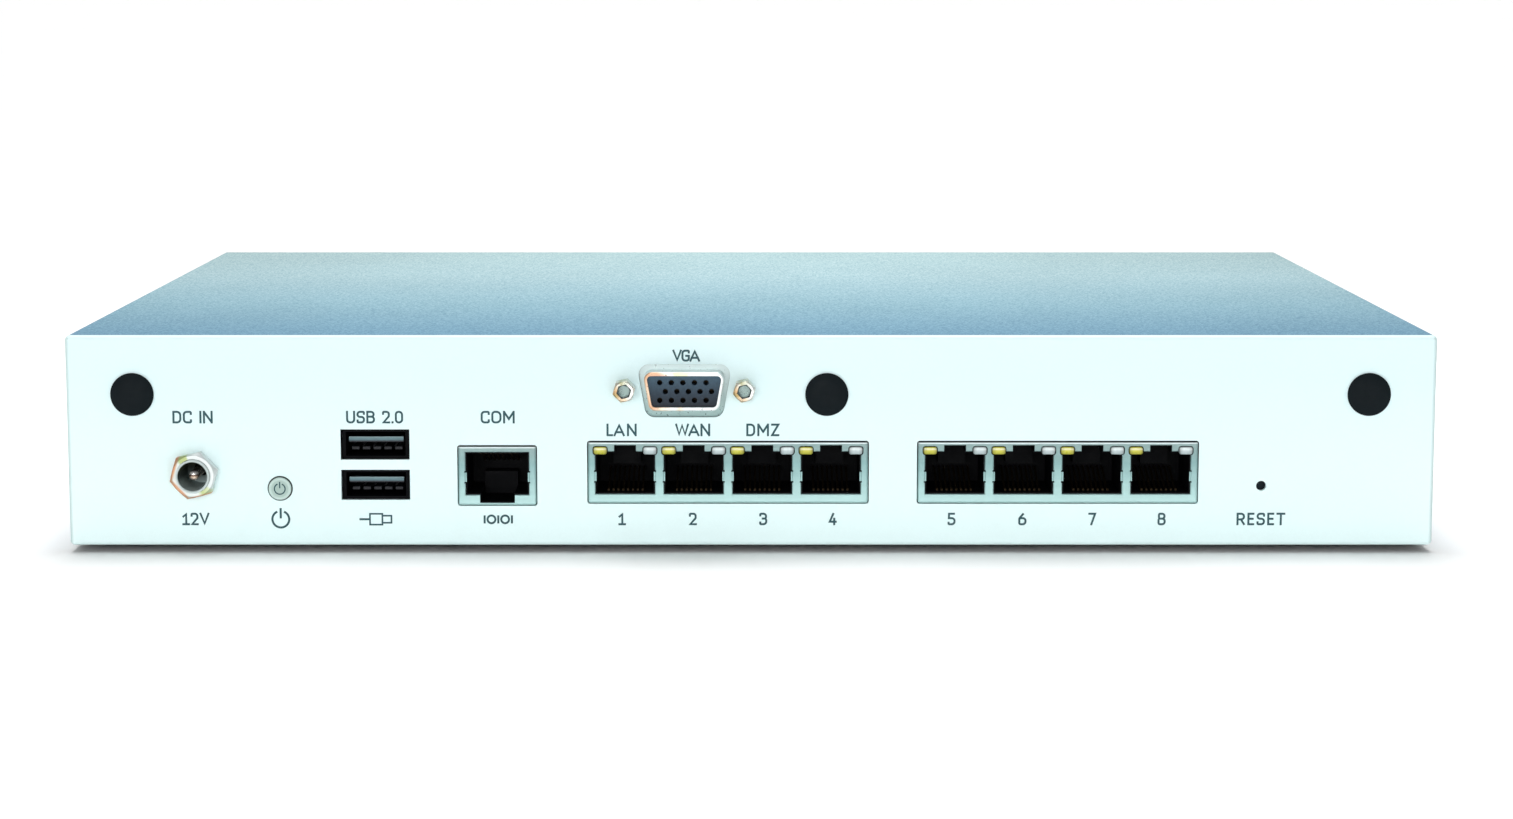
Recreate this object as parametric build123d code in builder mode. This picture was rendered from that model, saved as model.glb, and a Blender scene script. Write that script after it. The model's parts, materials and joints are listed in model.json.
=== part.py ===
from build123d import *
import os
from math import cos, radians, sin

os.makedirs("parts", exist_ok=True)

# A desktop network firewall appliance in a low sheet steel case, in millimetres.
# Frame: +Z up, the port (rear) face towards -Y, the front towards +Y, and the origin under the
# middle of the whole object, on the plane that its feet stand on.

# ---- Driving dimensions ----
case_width = 286.0
case_height = 44.4
case_depth = 181.0
connector_reach = 3.6  # how far the video socket stands out of the rear face
foot_height = 1.5
sheet = 1.0  # steel thickness, and the outer radius of its bends
lap = 1.3  # how far the rear panel's lips reach forward before the cover starts
seam = 0.05  # gap between neighbouring sheets
skirt = 3.0  # height of the base's strip below the cover's sides
flange_height = 16.0
inner_rim_depth = 8.5  # how far the rear panel's inner rim reaches forward
fan_wall_length = 48.0
screw_radius = 1.5  # M3 throughout the case
pan_head = (2.8, 1.9)  # radius and height of an M3 pan head
thread_slack = 0.05
hole_slack = 0.2  # round a screw that passes through a clearance hole

# ---- Datum planes worked out from them ----
rear_y = connector_reach - (case_depth + connector_reach) / 2
front_y = rear_y + case_depth
base_z = foot_height
half_width = case_width / 2
inner_y = rear_y + sheet
board_top = 8.4  # main board's upper face above the case's bottom
board_thickness = 1.6
board_z = base_z + board_top

# ---- Rear panel layout: distance right of the middle, height above the case's bottom ----
plug_spots = {"left": -129.1, "centre": 15.8, "right": 128.9}
plug_height = 32.1
video_spot = (-13.9, 33.15)
video_screw_spacing = 25.0
power_in_spot = (-116.4, 15.15)
power_button_spot = (-98.6, 12.2)
usb_x = -78.6
usb_heights = (12.95, 21.5)
console_x = -53.1
console_middle = 14.93
network_block_x = {"left": -4.82, "right": 64.17}
network_middle = 15.61
port_pitch = 14.35
port_offsets = [(index - 1.5) * port_pitch for index in range(4)]
reset_spot = (106.8, 12.75)

# ---- Sizes of the cutouts and connectors ----
plug_hole_radius = 3.9
power_in_hole_radius = 3.75
button_hole_radius = 2.65
reset_hole_radius = 1.05
usb_cutout = (14.4, 6.4)
console_cutout = (16.7, 12.9)
network_cutout = (58.95, 13.38)
cutout_corner = 0.6
video_cutout = (19.9, 11.2)
video_cutout_corner = 2.2
video_cutout_drop = 0.3  # middle of the cutout below the middle of the socket
video_screw_hole = 2.0

LOW = (Align.CENTER, Align.CENTER, Align.MIN)
BEHIND = (Align.CENTER, Align.MIN, Align.MIN)


def rear_plane(depth):
    """Plane parallel to the rear face and this far inside it: x right, y up from the case's bottom."""
    return Plane(origin=(0, rear_y + depth, base_z), x_dir=(1, 0, 0), z_dir=(0, -1, 0))


def rear_spot(spot, depth=0):
    """Plane on the rear face at this spot, facing out of it, sunk by depth."""
    return Plane(
        origin=(spot[0], rear_y + depth, base_z + spot[1]),
        x_dir=(1, 0, 0),
        z_dir=(0, -1, 0),
    )


def side_plane(x):
    """Plane across the case at this x, facing +X: x to the front, y up from the case's bottom."""
    return Plane(origin=(x, 0, base_z), x_dir=(0, 1, 0), z_dir=(1, 0, 0))


def d_outline(width, height, corner):
    """The video socket's outline: wide side up, 10 degree flanks, rounded corners."""
    with BuildSketch() as outline:
        Trapezoid(width, height, 80, rotation=180)
        fillet(outline.vertices(), corner)
    return outline.sketch


def pan_head_screw(radius, length, head_radius, head_height):
    """Screw along Z with its head above the origin and a cross recess in the head."""
    recess = 0.7 * head_height
    with BuildPart() as screw:
        Cylinder(head_radius, head_height, align=LOW)
        fillet(screw.faces().sort_by(Axis.Z)[-1].edges(), head_height * 0.4)
        Cylinder(radius, length, align=(Align.CENTER, Align.CENTER, Align.MAX))
        with Locations((0, 0, head_height - recess)):
            Box(head_radius, head_radius / 4, recess, align=LOW, mode=Mode.SUBTRACT)
            Box(head_radius / 4, head_radius, recess, align=LOW, mode=Mode.SUBTRACT)
    return screw.part


def hex_body(flats, length, bore, turn, corner):
    """Hex nut or spacer standing on the XY plane, its outer corners cut back by a cone.

    A body with a bore of None is solid.
    """
    corner_radius = flats / 2 / cos(radians(30))
    with BuildPart() as body:
        with BuildSketch():
            RegularPolygon(corner_radius, 6, rotation=turn)
        extrude(amount=length)
        with BuildSketch(Plane.XZ):
            Polygon(
                (0, 0),
                (corner_radius + 1, 0),
                (corner_radius + 1, length - corner - 1),
                (corner_radius - corner, length),
                (0, length),
                align=None,
            )
        revolve(axis=Axis.Z, mode=Mode.INTERSECT)
        if bore:
            Hole(bore)
    return body.part


# ---- The case's outline, a bent shell open at the front, shared by the base and the cover ----
with BuildPart() as case_shell:
    with Locations((0, rear_y, base_z)):
        Box(case_width, case_depth, case_height, align=BEHIND)
    rear_edges = case_shell.faces().sort_by(Axis.Y)[0].edges()
    long_edges = case_shell.edges().filter_by(Axis.Y)
    fillet(rear_edges + long_edges, sheet)
    with Locations((0, inner_y, base_z + sheet)):
        Box(
            case_width - 2 * sheet,
            case_depth,
            case_height - 2 * sheet,
            align=BEHIND,
            mode=Mode.SUBTRACT,
        )

# ---- Side air vents, cover screws and the fan, which sits on the left wall ----
vent_slot = (20.0, 2.2)  # length and width
vent_pitch = 4.4
vent_count = 12
vent_height = 28.5
fan_y = 12.0
fan_height = 22.6
fan_size = 40.0
fan_thickness = 10.0
fan_hole_pitch = 32.0
duct_radius = 18.9
cover_screw_ys = (-66.0, 70.0)
cover_screw_height = 9.5
screw_head_radius = screw_radius + sheet  # a 90 degree head as deep as the cover is thick
flange_x = half_width - sheet - seam  # outer side of the base's inner flanges

# ---- Front wall, bezel and indicator row ----
front_wall_y = front_y - 6.4
bezel_recess = 0.8
bezel_gap = 0.15
light_count = 10
light_pitch = 9.0
light_height = 22.0
light_start = -(light_count - 1) / 2 * light_pitch
light_spots = [(light_start + index * light_pitch, light_height) for index in range(light_count)]
light_radius = 1.2
light_slack = 0.1
indicator_gap = 7.0  # from the front wall to the indicator board's face
indicator_board_thickness = 1.6
post_pitch = light_count * light_pitch + 18
post_spots = [(side * post_pitch / 2, light_height) for side in (-1, 1)]
post_radius = 2.2
post_pin_radius = 1.25

# ---- Main board ----
board_back = rear_y + 1.6
board_front = 62.0
board_half_width = 127.0
standoff_spots = [(x, y) for x in (-121.0, 9.5, 121.0) for y in (-58.0, 56.0)]

# ---- Base chassis: bottom, rear panel with lips, inner flanges, front wall and fan wall ----
with BuildPart() as base_chassis:
    add(case_shell.part)
    with Locations((0, rear_y + lap, base_z + skirt)):
        Box(case_width + 2, case_depth, case_height, align=BEHIND, mode=Mode.SUBTRACT)
    # a U of inner flange behind the rear panel, which the cover slides over
    inner_top = case_height - sheet - seam
    with BuildSketch(rear_plane(sheet / 2)):
        with Locations((0, sheet / 2)):
            Rectangle(2 * flange_x, inner_top - sheet / 2, align=(Align.CENTER, Align.MIN))
            Rectangle(
                2 * (flange_x - sheet),
                inner_top - sheet / 2 - sheet,
                align=(Align.CENTER, Align.MIN),
                mode=Mode.SUBTRACT,
            )
    extrude(amount=-(inner_rim_depth + sheet / 2))
    # side flanges, front wall and fan wall
    for side in (-1, 1):
        with Locations((side * (flange_x - sheet / 2), rear_y + sheet / 2, base_z + sheet / 2)):
            Box(sheet, front_wall_y - rear_y, flange_height, align=BEHIND)
    with Locations((0, front_wall_y, base_z + sheet / 2)):
        Box(2 * flange_x, sheet, case_height - 4 * sheet, align=BEHIND)
    with Locations((-flange_x + sheet / 2, fan_y, base_z + sheet / 2)):
        Box(sheet, fan_wall_length, case_height - 3 * sheet, align=LOW)
    # rear cutouts
    with BuildSketch(rear_plane(-1)):
        with Locations(*[(x, plug_height) for x in plug_spots.values()]):
            Circle(plug_hole_radius)
        with Locations(power_in_spot):
            Circle(power_in_hole_radius)
        with Locations(power_button_spot):
            Circle(button_hole_radius)
        with Locations(reset_spot):
            Circle(reset_hole_radius)
        with Locations(*[(usb_x, height) for height in usb_heights]):
            Rectangle(*usb_cutout)
        with Locations((console_x, console_middle)):
            RectangleRounded(*console_cutout, cutout_corner)
        with Locations(*[(x, network_middle) for x in network_block_x.values()]):
            RectangleRounded(*network_cutout, cutout_corner)
        with Locations((video_spot[0], video_spot[1] - video_cutout_drop)):
            add(d_outline(*video_cutout, video_cutout_corner))
        with Locations(video_spot):
            with GridLocations(video_screw_spacing, 0, 2, 1):
                Circle(video_screw_hole)
    extrude(amount=-(sheet + 1.5), mode=Mode.SUBTRACT)
    # cover screw holes with drawn collars on the inside, clear over the height of the screw's head
    for side in (-1, 1):
        for y in cover_screw_ys:
            hole_plane = Plane(
                origin=(side * flange_x, y, base_z + cover_screw_height),
                z_dir=(side, 0, 0),
            )
            with Locations(hole_plane):
                Cylinder(
                    screw_radius + sheet,
                    2.5 * sheet,
                    align=(Align.CENTER, Align.CENTER, Align.MAX),
                )
                Hole(screw_radius + thread_slack, depth=3 * sheet)
    # air opening and four screw holes in the fan wall
    with BuildSketch(side_plane(-flange_x - 0.5)):
        with Locations((fan_y, fan_height)):
            Circle(duct_radius)
            with GridLocations(fan_hole_pitch, fan_hole_pitch, 2, 2):
                Circle(screw_radius + thread_slack)
    extrude(amount=sheet + 1, mode=Mode.SUBTRACT)
    # holes for the light pipes in the front wall
    with BuildSketch(rear_plane(front_wall_y - rear_y - 1)):
        with Locations(*light_spots):
            Circle(light_radius + 2 * light_slack)
        with Locations(*post_spots):
            Circle(post_radius + light_slack)
    extrude(amount=-(sheet + 2), mode=Mode.SUBTRACT)
base_chassis.part.label = "base_chassis"
export_step(base_chassis.part, "parts/base_chassis.step")

# ---- Top cover: top and sides in one bend, with a row of vent slots in each side ----
with BuildPart() as top_cover:
    add(case_shell.part)
    with Locations((0, rear_y + lap + seam, base_z + skirt + seam)):
        Box(case_width + 2, case_depth, case_height, align=BEHIND, mode=Mode.INTERSECT)
    with BuildSketch(side_plane(0)):
        with Locations((fan_y, vent_height)):
            with GridLocations(vent_pitch, 0, vent_count, 1):
                SlotOverall(*vent_slot, rotation=90)
    extrude(amount=half_width + 1, both=True, mode=Mode.SUBTRACT)
    for side in (-1, 1):
        for y in cover_screw_ys:
            hole_plane = Plane(
                origin=(side * half_width, y, base_z + cover_screw_height),
                z_dir=(side, 0, 0),
            )
            with Locations(hole_plane):
                CounterSinkHole(
                    screw_radius + thread_slack,
                    screw_head_radius + thread_slack,
                    depth=2 * sheet,
                    counter_sink_angle=90,
                )
top_cover.part.label = "top_cover"
export_step(top_cover.part, "parts/top_cover.step")

# ---- Four countersunk cover screws with cross recesses ----
with BuildPart() as cover_screw:
    Cone(screw_radius, screw_head_radius, sheet, align=(Align.CENTER, Align.CENTER, Align.MAX))
    Cylinder(screw_radius, 5.0, align=(Align.CENTER, Align.CENTER, Align.MAX))
    with Locations((0, 0, -0.8)):
        Box(2.6, 0.55, 1, align=LOW, mode=Mode.SUBTRACT)
        Box(0.55, 2.6, 1, align=LOW, mode=Mode.SUBTRACT)
with BuildPart() as cover_screws:
    for side in (-1, 1):
        for y in cover_screw_ys:
            screw_plane = Plane(
                origin=(side * (half_width - thread_slack), y, base_z + cover_screw_height),
                z_dir=(side, 0, 0),
            )
            with Locations(screw_plane):
                add(cover_screw.part)
cover_screws.part.label = "cover_screws"
export_step(cover_screws.part, "parts/cover_screws.step")

# ---- Four rubber feet ----
foot_radius = 5.0
foot_inset = 16.0
with BuildPart() as rubber_feet:
    for x in (-half_width + foot_inset, half_width - foot_inset):
        for y in (rear_y + foot_inset, front_y - foot_inset):
            with Locations((x, y, 0)):
                Cylinder(foot_radius, foot_height, align=LOW)
    chamfer(rubber_feet.faces().filter_by(Axis.Z).group_by(Axis.Z)[0].edges(), 0.4)
rubber_feet.part.label = "rubber_feet"
export_step(rubber_feet.part, "parts/rubber_feet.step")

# ---- Front bezel: a plate recessed inside the case's front rim ----
bezel_width = case_width - 2 * (sheet + bezel_gap)
bezel_height = case_height - 2 * (sheet + bezel_gap)
bezel_back = front_wall_y + sheet
bezel_thickness = front_y - bezel_recess - bezel_back
with BuildPart() as front_bezel:
    with Locations((0, bezel_back, base_z + sheet + bezel_gap)):
        Box(bezel_width, bezel_thickness, bezel_height, align=BEHIND)
    fillet(front_bezel.faces().sort_by(Axis.Y)[-1].edges(), 0.8)
    # a shallow panel line round the indicators
    with BuildSketch(Plane.XZ.offset(-(front_y - bezel_recess + 1))):
        with Locations((0, base_z + light_height)):
            SlotOverall(light_count * light_pitch + 8, 10)
    extrude(amount=1.6, mode=Mode.SUBTRACT)
    with BuildSketch(rear_plane(front_wall_y - rear_y)):
        with Locations(*light_spots):
            Circle(light_radius + light_slack)
    extrude(amount=-(bezel_thickness + 2), mode=Mode.SUBTRACT)
    # two posts through the front wall, with pins that carry the indicator board
    with BuildSketch(rear_plane(bezel_back + 0.5 - rear_y)):
        with Locations(*post_spots):
            Circle(post_radius)
    extrude(amount=sheet + indicator_gap + 0.5)
    with BuildSketch(rear_plane(bezel_back + 0.5 - rear_y)):
        with Locations(*post_spots):
            Circle(post_pin_radius)
    extrude(amount=sheet + indicator_gap + 0.5 + indicator_board_thickness + 0.8)
front_bezel.part.label = "front_bezel"
export_step(front_bezel.part, "parts/front_bezel.step")

# ---- Hole plugs: domed head, neck through the panel, snap barb behind it ----
plug_head_radius = 4.5
plug_head_height = 1.0
plug_neck = plug_hole_radius - 0.1
plug_barb = 0.4
plug_wall = 1.2
with BuildPart() as hole_plug:
    with BuildSketch(Plane.XZ):
        with BuildLine():
            crown = ThreePointArc(
                (0, plug_head_height),
                (0.75 * plug_head_radius, 0.8 * plug_head_height),
                (plug_head_radius, 0.35 * plug_head_height),
            )
            Polyline(
                crown @ 1,
                (plug_head_radius, 0),
                (plug_neck, 0),
                (plug_neck, -1.1 * sheet),
                (plug_neck + plug_barb, -1.6 * sheet),
                (plug_neck, -3.5 * sheet),
                (plug_neck - plug_wall, -3.5 * sheet),
                (plug_neck - plug_wall, -0.2),
                (0, -0.2),
                crown @ 0,
            )
        make_face()
    revolve(axis=Axis.Z)
for name, x in plug_spots.items():
    with BuildPart() as placed_plug:
        with Locations(rear_spot((x, plug_height))):
            add(hole_plug.part)
    placed_plug.part.label = f"hole_plug_{name}"
    export_step(placed_plug.part, f"parts/hole_plug_{name}.step")

# ---- DC power jack: body on the board, threaded barrel through the panel, hex nut, centre pin ----
barrel_radius = 3.55
barrel_bore = 3.05
barrel_reach = 2.9
nut_flats = 9.0
nut_thickness = 2.2
nut_turn = 14.0
pin_radius = 1.05
jack_body = (11.0, 13.0)  # width and depth
jack_body_top = power_in_spot[1] + 5.6
with BuildPart() as dc_jack_housing:
    with Locations((power_in_spot[0], inner_y, base_z + board_top)):
        Box(jack_body[0], jack_body[1], jack_body_top - board_top, align=BEHIND)
    fillet(dc_jack_housing.edges().filter_by(Axis.Y).group_by(Axis.Z)[-1], 1.0)
    with BuildSketch(rear_plane(0)):
        with Locations(power_in_spot):
            Circle(barrel_radius + thread_slack)
    extrude(amount=-9.0, mode=Mode.SUBTRACT)
dc_jack_housing.part.label = "dc_jack_housing"
export_step(dc_jack_housing.part, "parts/dc_jack_housing.step")

with BuildPart() as dc_jack_barrel:
    with BuildSketch(rear_plane(-barrel_reach)):
        with Locations(power_in_spot):
            Circle(barrel_radius)
    extrude(amount=-(barrel_reach + 8.8))
    chamfer(dc_jack_barrel.faces().sort_by(Axis.Y)[0].edges(), 0.2)
    with BuildSketch(rear_plane(-barrel_reach)):
        with Locations(power_in_spot):
            Circle(barrel_bore)
    extrude(amount=-(barrel_reach + 7.8), mode=Mode.SUBTRACT)
    with BuildSketch(rear_plane(-barrel_reach)):
        with Locations(power_in_spot):
            Circle(pin_radius + 0.6)
    extrude(amount=-(barrel_reach + 10.0), mode=Mode.SUBTRACT)
dc_jack_barrel.part.label = "dc_jack_barrel"
export_step(dc_jack_barrel.part, "parts/dc_jack_barrel.step")

with BuildPart() as dc_jack_pin:
    with BuildSketch(rear_plane(1.2 - barrel_reach)):
        with Locations(power_in_spot):
            Circle(pin_radius)
    extrude(amount=-(barrel_reach + 9.0 - 1.2))
    fillet(dc_jack_pin.faces().sort_by(Axis.Y)[0].edges(), 0.9 * pin_radius)
dc_jack_pin.part.label = "dc_jack_pin"
export_step(dc_jack_pin.part, "parts/dc_jack_pin.step")

with BuildPart() as dc_jack_nut:
    with Locations(rear_spot(power_in_spot)):
        add(hex_body(nut_flats, nut_thickness, barrel_radius + thread_slack, nut_turn, 0.9))
dc_jack_nut.part.label = "dc_jack_nut"
export_step(dc_jack_nut.part, "parts/dc_jack_nut.step")

# ---- Power push button: cap with a retaining collar and stem, and the switch that it works ----
button_radius = 2.38
button_proud = 0.6
button_travel = 0.5
switch_face = 7.5
stem_radius = 1.3
with BuildPart() as power_button:
    with BuildSketch(rear_plane(-button_proud)):
        with Locations(power_button_spot):
            Circle(button_radius)
    extrude(amount=-(button_proud + sheet + 2.0))
    fillet(power_button.faces().sort_by(Axis.Y)[0].edges(), 0.3)
    with BuildSketch(rear_plane(sheet + 0.3)):
        with Locations(power_button_spot):
            Circle(button_radius + 0.8)
    extrude(amount=-0.8)
    with BuildSketch(rear_plane(sheet + 1.0)):
        with Locations(power_button_spot):
            Circle(stem_radius)
    extrude(amount=-(switch_face + 1.0))
power_button.part.label = "power_button"
export_step(power_button.part, "parts/power_button.step")

with BuildPart() as power_switch:
    with Locations((power_button_spot[0], rear_y + switch_face, board_z)):
        Box(7.0, 7.0, 7.5, align=BEHIND)
    with BuildSketch(rear_plane(switch_face)):
        with Locations(power_button_spot):
            Circle(stem_radius + 0.08)
    extrude(amount=-(sheet + 1.0 + 1.0 + button_travel + 0.6), mode=Mode.SUBTRACT)
power_switch.part.label = "power_switch"
export_step(power_switch.part, "parts/power_switch.step")

# ---- Reset plunger behind its pinhole, and the switch that it works ----
reset_travel = 0.25
reset_face = 3.6
plunger_radius = 1.6
with BuildPart() as reset_plunger:
    with BuildSketch(rear_plane(sheet + 0.8)):
        with Locations(reset_spot):
            Circle(plunger_radius)
    extrude(amount=-3.0)
    fillet(reset_plunger.faces().sort_by(Axis.Y)[0].edges(), 0.3)
reset_plunger.part.label = "reset_plunger"
export_step(reset_plunger.part, "parts/reset_plunger.step")

with BuildPart() as reset_switch:
    with Locations((reset_spot[0], rear_y + reset_face, board_z)):
        Box(6.2, 3.6, 7.2, align=BEHIND)
    with BuildSketch(rear_plane(reset_face)):
        with Locations(reset_spot):
            Circle(plunger_radius + 0.08)
    extrude(amount=-(1.2 + reset_travel + 0.3), mode=Mode.SUBTRACT)
reset_switch.part.label = "reset_switch"
export_step(reset_switch.part, "parts/reset_switch.step")

# ---- Two stacked USB type A sockets: one shell, an insert with two tongues, eight contacts ----
usb_cavity = (12.5, 5.12)
usb_shell_width = 14.0
usb_depth = 17.0
usb_wall = 0.5
usb_front = sheet + seam
usb_back = usb_front + usb_depth - usb_wall  # where the ports' cavities end
usb_top = usb_heights[1] + usb_cavity[1] / 2 + usb_wall + 0.2
usb_block = 4.0  # the insert closes this much of each cavity's back
block_front = usb_back - usb_block
tongue = (11.4, 1.1)
tongue_lift = 0.8  # middle of the tongue above the middle of its port
tongue_length = 11.5
rib = (1.5, 0.55)
rib_drop = 1.3  # middle of the ribs below the middle of their port
rib_length = 10.0
rib_pitch = 2.26
rib_count = 5
contact = (1.0, 0.25)
contact_pitch = 2.5
contact_count = 4
contact_length = 9.9
with BuildPart() as usb_shell:
    with Locations((usb_x, rear_y + usb_front, board_z)):
        Box(usb_shell_width, usb_depth, usb_top - board_top, align=BEHIND)
    with BuildSketch(rear_plane(usb_front)):
        with Locations(*[(usb_x, height) for height in usb_heights]):
            Rectangle(*usb_cavity)
    extrude(amount=-(usb_depth - usb_wall), mode=Mode.SUBTRACT)
usb_shell.part.label = "usb_shell"
export_step(usb_shell.part, "parts/usb_shell.step")

with BuildPart() as usb_inserts:
    for height in usb_heights:
        with BuildSketch(rear_plane(block_front)):
            with Locations((usb_x, height)):
                Rectangle(usb_cavity[0] - 2 * seam, usb_cavity[1] - 2 * seam)
        extrude(amount=-(usb_block - seam))
        with BuildSketch(rear_plane(block_front - tongue_length)):
            with Locations((usb_x, height + tongue_lift)):
                Rectangle(*tongue)
        extrude(amount=-(tongue_length + 1))
        # comb of ribs that steadies the plug from below
        with BuildSketch(rear_plane(block_front - rib_length)):
            with Locations((usb_x, height - rib_drop)):
                with GridLocations(rib_pitch, 0, rib_count, 1):
                    Rectangle(*rib)
        extrude(amount=-(rib_length + 1))
usb_inserts.part.label = "usb_inserts"
export_step(usb_inserts.part, "parts/usb_inserts.step")

with BuildPart() as usb_contacts:
    for height in usb_heights:
        underside = height + tongue_lift - tongue[1] / 2
        with BuildSketch(rear_plane(block_front - contact_length)):
            with Locations((usb_x, underside - contact[1] / 2)):
                with GridLocations(contact_pitch, 0, contact_count, 1):
                    Rectangle(*contact)
        extrude(amount=-contact_length)
usb_contacts.part.label = "usb_contacts"
export_step(usb_contacts.part, "parts/usb_contacts.step")

# ---- Shielded 8-way modular sockets: one console socket and two blocks of four network sockets ----
jack_depth = 21.0
jack_proud = 0.3
jack_face = 0.4  # thickness of the shield's face
jack_wall = 0.3
jack_gap = 0.2  # round the shield in its cutout
cavity_depth = 14.0
cavity_inset = 0.3  # the housing's cavity inside the shield's opening
lamp_size = (2.85, 1.65)
lamp_offset = 5.2  # sideways from the middle of the port
lamp_height = 20.25
lamp_depth = 3.3
lamp_proud = 0.2
lamp_gap = 0.17
lamp_corner = 0.5
lamp_round = 0.3
catch_depth = 4.0  # how far the latch catch stands forward from the back of the cavity
jack_edge = 0.45  # round on the shield's front edges
port_edge = 0.15  # bevel round its ports
spring_middle = -0.8  # the side springs' height, from the middle of the port
spring_size = (0.25, 1.95)  # how far each stands into the port, and its height
spring_slit = (0.25, 0.35)  # cut at each end of a spring
wire = 0.4
wire_pitch = 1.02
wire_count = 8


def modular_socket(
    names, block_x, offsets, cutout, middle, opening, opening_middle, notch, latch, catch, lamps
):
    """Shield, housing and contact wires of a block of sockets, written under the three names.

    The latch notch points up for latch = 1 and down for -1. The catch is the width and height of
    the block that holds the plug's latch, and how far it stands from the port's latch side. With
    lamps, each port's two upper corners are cut out for its indicator lenses.
    """
    xs = [block_x + offset for offset in offsets]
    width = cutout[0] - 2 * jack_gap
    height = cutout[1] - 2 * jack_gap
    face_back = jack_face - jack_proud
    floor = opening_middle - latch * (opening[1] / 2 - cavity_inset)
    lamp_spots = [(x + side * lamp_offset, lamp_height) for x in xs for side in (-1, 1)]
    with BuildPart() as shield:
        with BuildSketch(rear_plane(-jack_proud)):
            with Locations((block_x, middle)):
                RectangleRounded(width, height, cutout_corner - jack_gap / 2)
        extrude(amount=-jack_depth)
        fillet(shield.faces().sort_by(Axis.Y)[0].edges(), jack_edge)
        with BuildSketch(rear_plane(face_back)):
            with Locations((block_x, middle)):
                Rectangle(width - 2 * jack_wall, height - 2 * jack_wall)
        extrude(amount=-jack_depth, mode=Mode.SUBTRACT)
        # open underneath, behind the panel
        with BuildSketch(rear_plane(2 * sheet)):
            with Locations((block_x, middle - height / 2)):
                Rectangle(width - 2 * jack_wall, 2)
        extrude(amount=-jack_depth, mode=Mode.SUBTRACT)
        with BuildSketch(rear_plane(-1)):
            with Locations(*[(x, opening_middle) for x in xs]):
                Rectangle(*opening)
                with Locations((0, latch * (opening[1] + notch[1]) / 2)):
                    Rectangle(notch[0], notch[1] + 0.1)
                with Locations((0, spring_middle)):
                    with GridLocations(opening[0], spring_size[1] + spring_slit[1], 2, 2):
                        Rectangle(2 * spring_slit[0], spring_slit[1])
                    with GridLocations(opening[0], 0, 2, 1):
                        Rectangle(2 * spring_size[0], spring_size[1], mode=Mode.SUBTRACT)
            if lamps:
                with Locations(*lamp_spots):
                    RectangleRounded(
                        lamp_size[0] + 2 * lamp_gap,
                        lamp_size[1] + 2 * lamp_gap,
                        lamp_corner + lamp_gap,
                    )
        extrude(amount=-(1 + face_back + 0.05), mode=Mode.SUBTRACT)
        # bevel round the mouth of each port
        with BuildSketch(rear_plane(-jack_proud)):
            with Locations(*[(x, opening_middle) for x in xs]):
                Rectangle(opening[0] + 2 * port_edge, opening[1] + 2 * port_edge)
        extrude(amount=-port_edge, taper=45, mode=Mode.SUBTRACT)
    shield.part.label = names[0]
    export_step(shield.part, f"parts/{names[0]}.step")

    with BuildPart() as housing:
        with BuildSketch(rear_plane(face_back + seam)):
            with Locations((block_x, middle)):
                Rectangle(width - 2 * (jack_wall + seam), height - 2 * (jack_wall + seam))
        extrude(amount=-(jack_depth - jack_proud - face_back - seam))
        bottom = middle - height / 2
        with Locations((block_x, rear_y + 2 * sheet + 0.3, board_z)):
            Box(
                width - 2 * (jack_wall + seam),
                jack_depth - jack_proud - 2 * sheet - 0.3,
                bottom + 1 - board_top,
                align=BEHIND,
            )
        with BuildSketch(rear_plane(-1)):
            with Locations(*[(x, opening_middle) for x in xs]):
                Rectangle(opening[0] - 2 * cavity_inset, opening[1] - 2 * cavity_inset)
                with Locations((0, latch * (opening[1] + notch[1] - 2 * cavity_inset) / 2)):
                    Rectangle(notch[0] - cavity_inset, notch[1] + 0.2)
        extrude(amount=-(1 + cavity_depth), mode=Mode.SUBTRACT)
        if lamps:
            with BuildSketch(rear_plane(-1)):
                with Locations(*lamp_spots):
                    Rectangle(lamp_size[0] + 0.1, lamp_size[1] + 0.1)
            extrude(amount=-(1 + lamp_depth - lamp_proud - jack_proud + 0.05), mode=Mode.SUBTRACT)
        # catch for the plug's latch, standing forward from the back of each cavity
        for x in xs:
            catch_middle = opening_middle + latch * (opening[1] / 2 - catch[2] - catch[1] / 2)
            with Locations((x, rear_y + cavity_depth - catch_depth, base_z + catch_middle)):
                Box(
                    catch[0],
                    catch_depth + 0.5,
                    catch[1],
                    align=(Align.CENTER, Align.MIN, Align.CENTER),
                )
    housing.part.label = names[1]
    export_step(housing.part, f"parts/{names[1]}.step")

    with BuildPart() as spring_wire:
        with BuildSketch(Plane.YZ):
            with BuildLine():
                Polyline(
                    (rear_y + 2.2, base_z + floor + latch * wire / 2),
                    (rear_y + 4.4, base_z + floor + latch * wire / 2),
                    (rear_y + 11.5, base_z + floor + latch * 3.2),
                    (rear_y + cavity_depth, base_z + floor + latch * 3.2),
                )
            trace(line_width=wire)
        extrude(amount=wire / 2, both=True)
    with BuildPart() as wires:
        for x in xs:
            for index in range(wire_count):
                with Locations((x + (index - (wire_count - 1) / 2) * wire_pitch, 0, 0)):
                    add(spring_wire.part)
    wires.part.label = names[2]
    export_step(wires.part, f"parts/{names[2]}.step")


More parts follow.
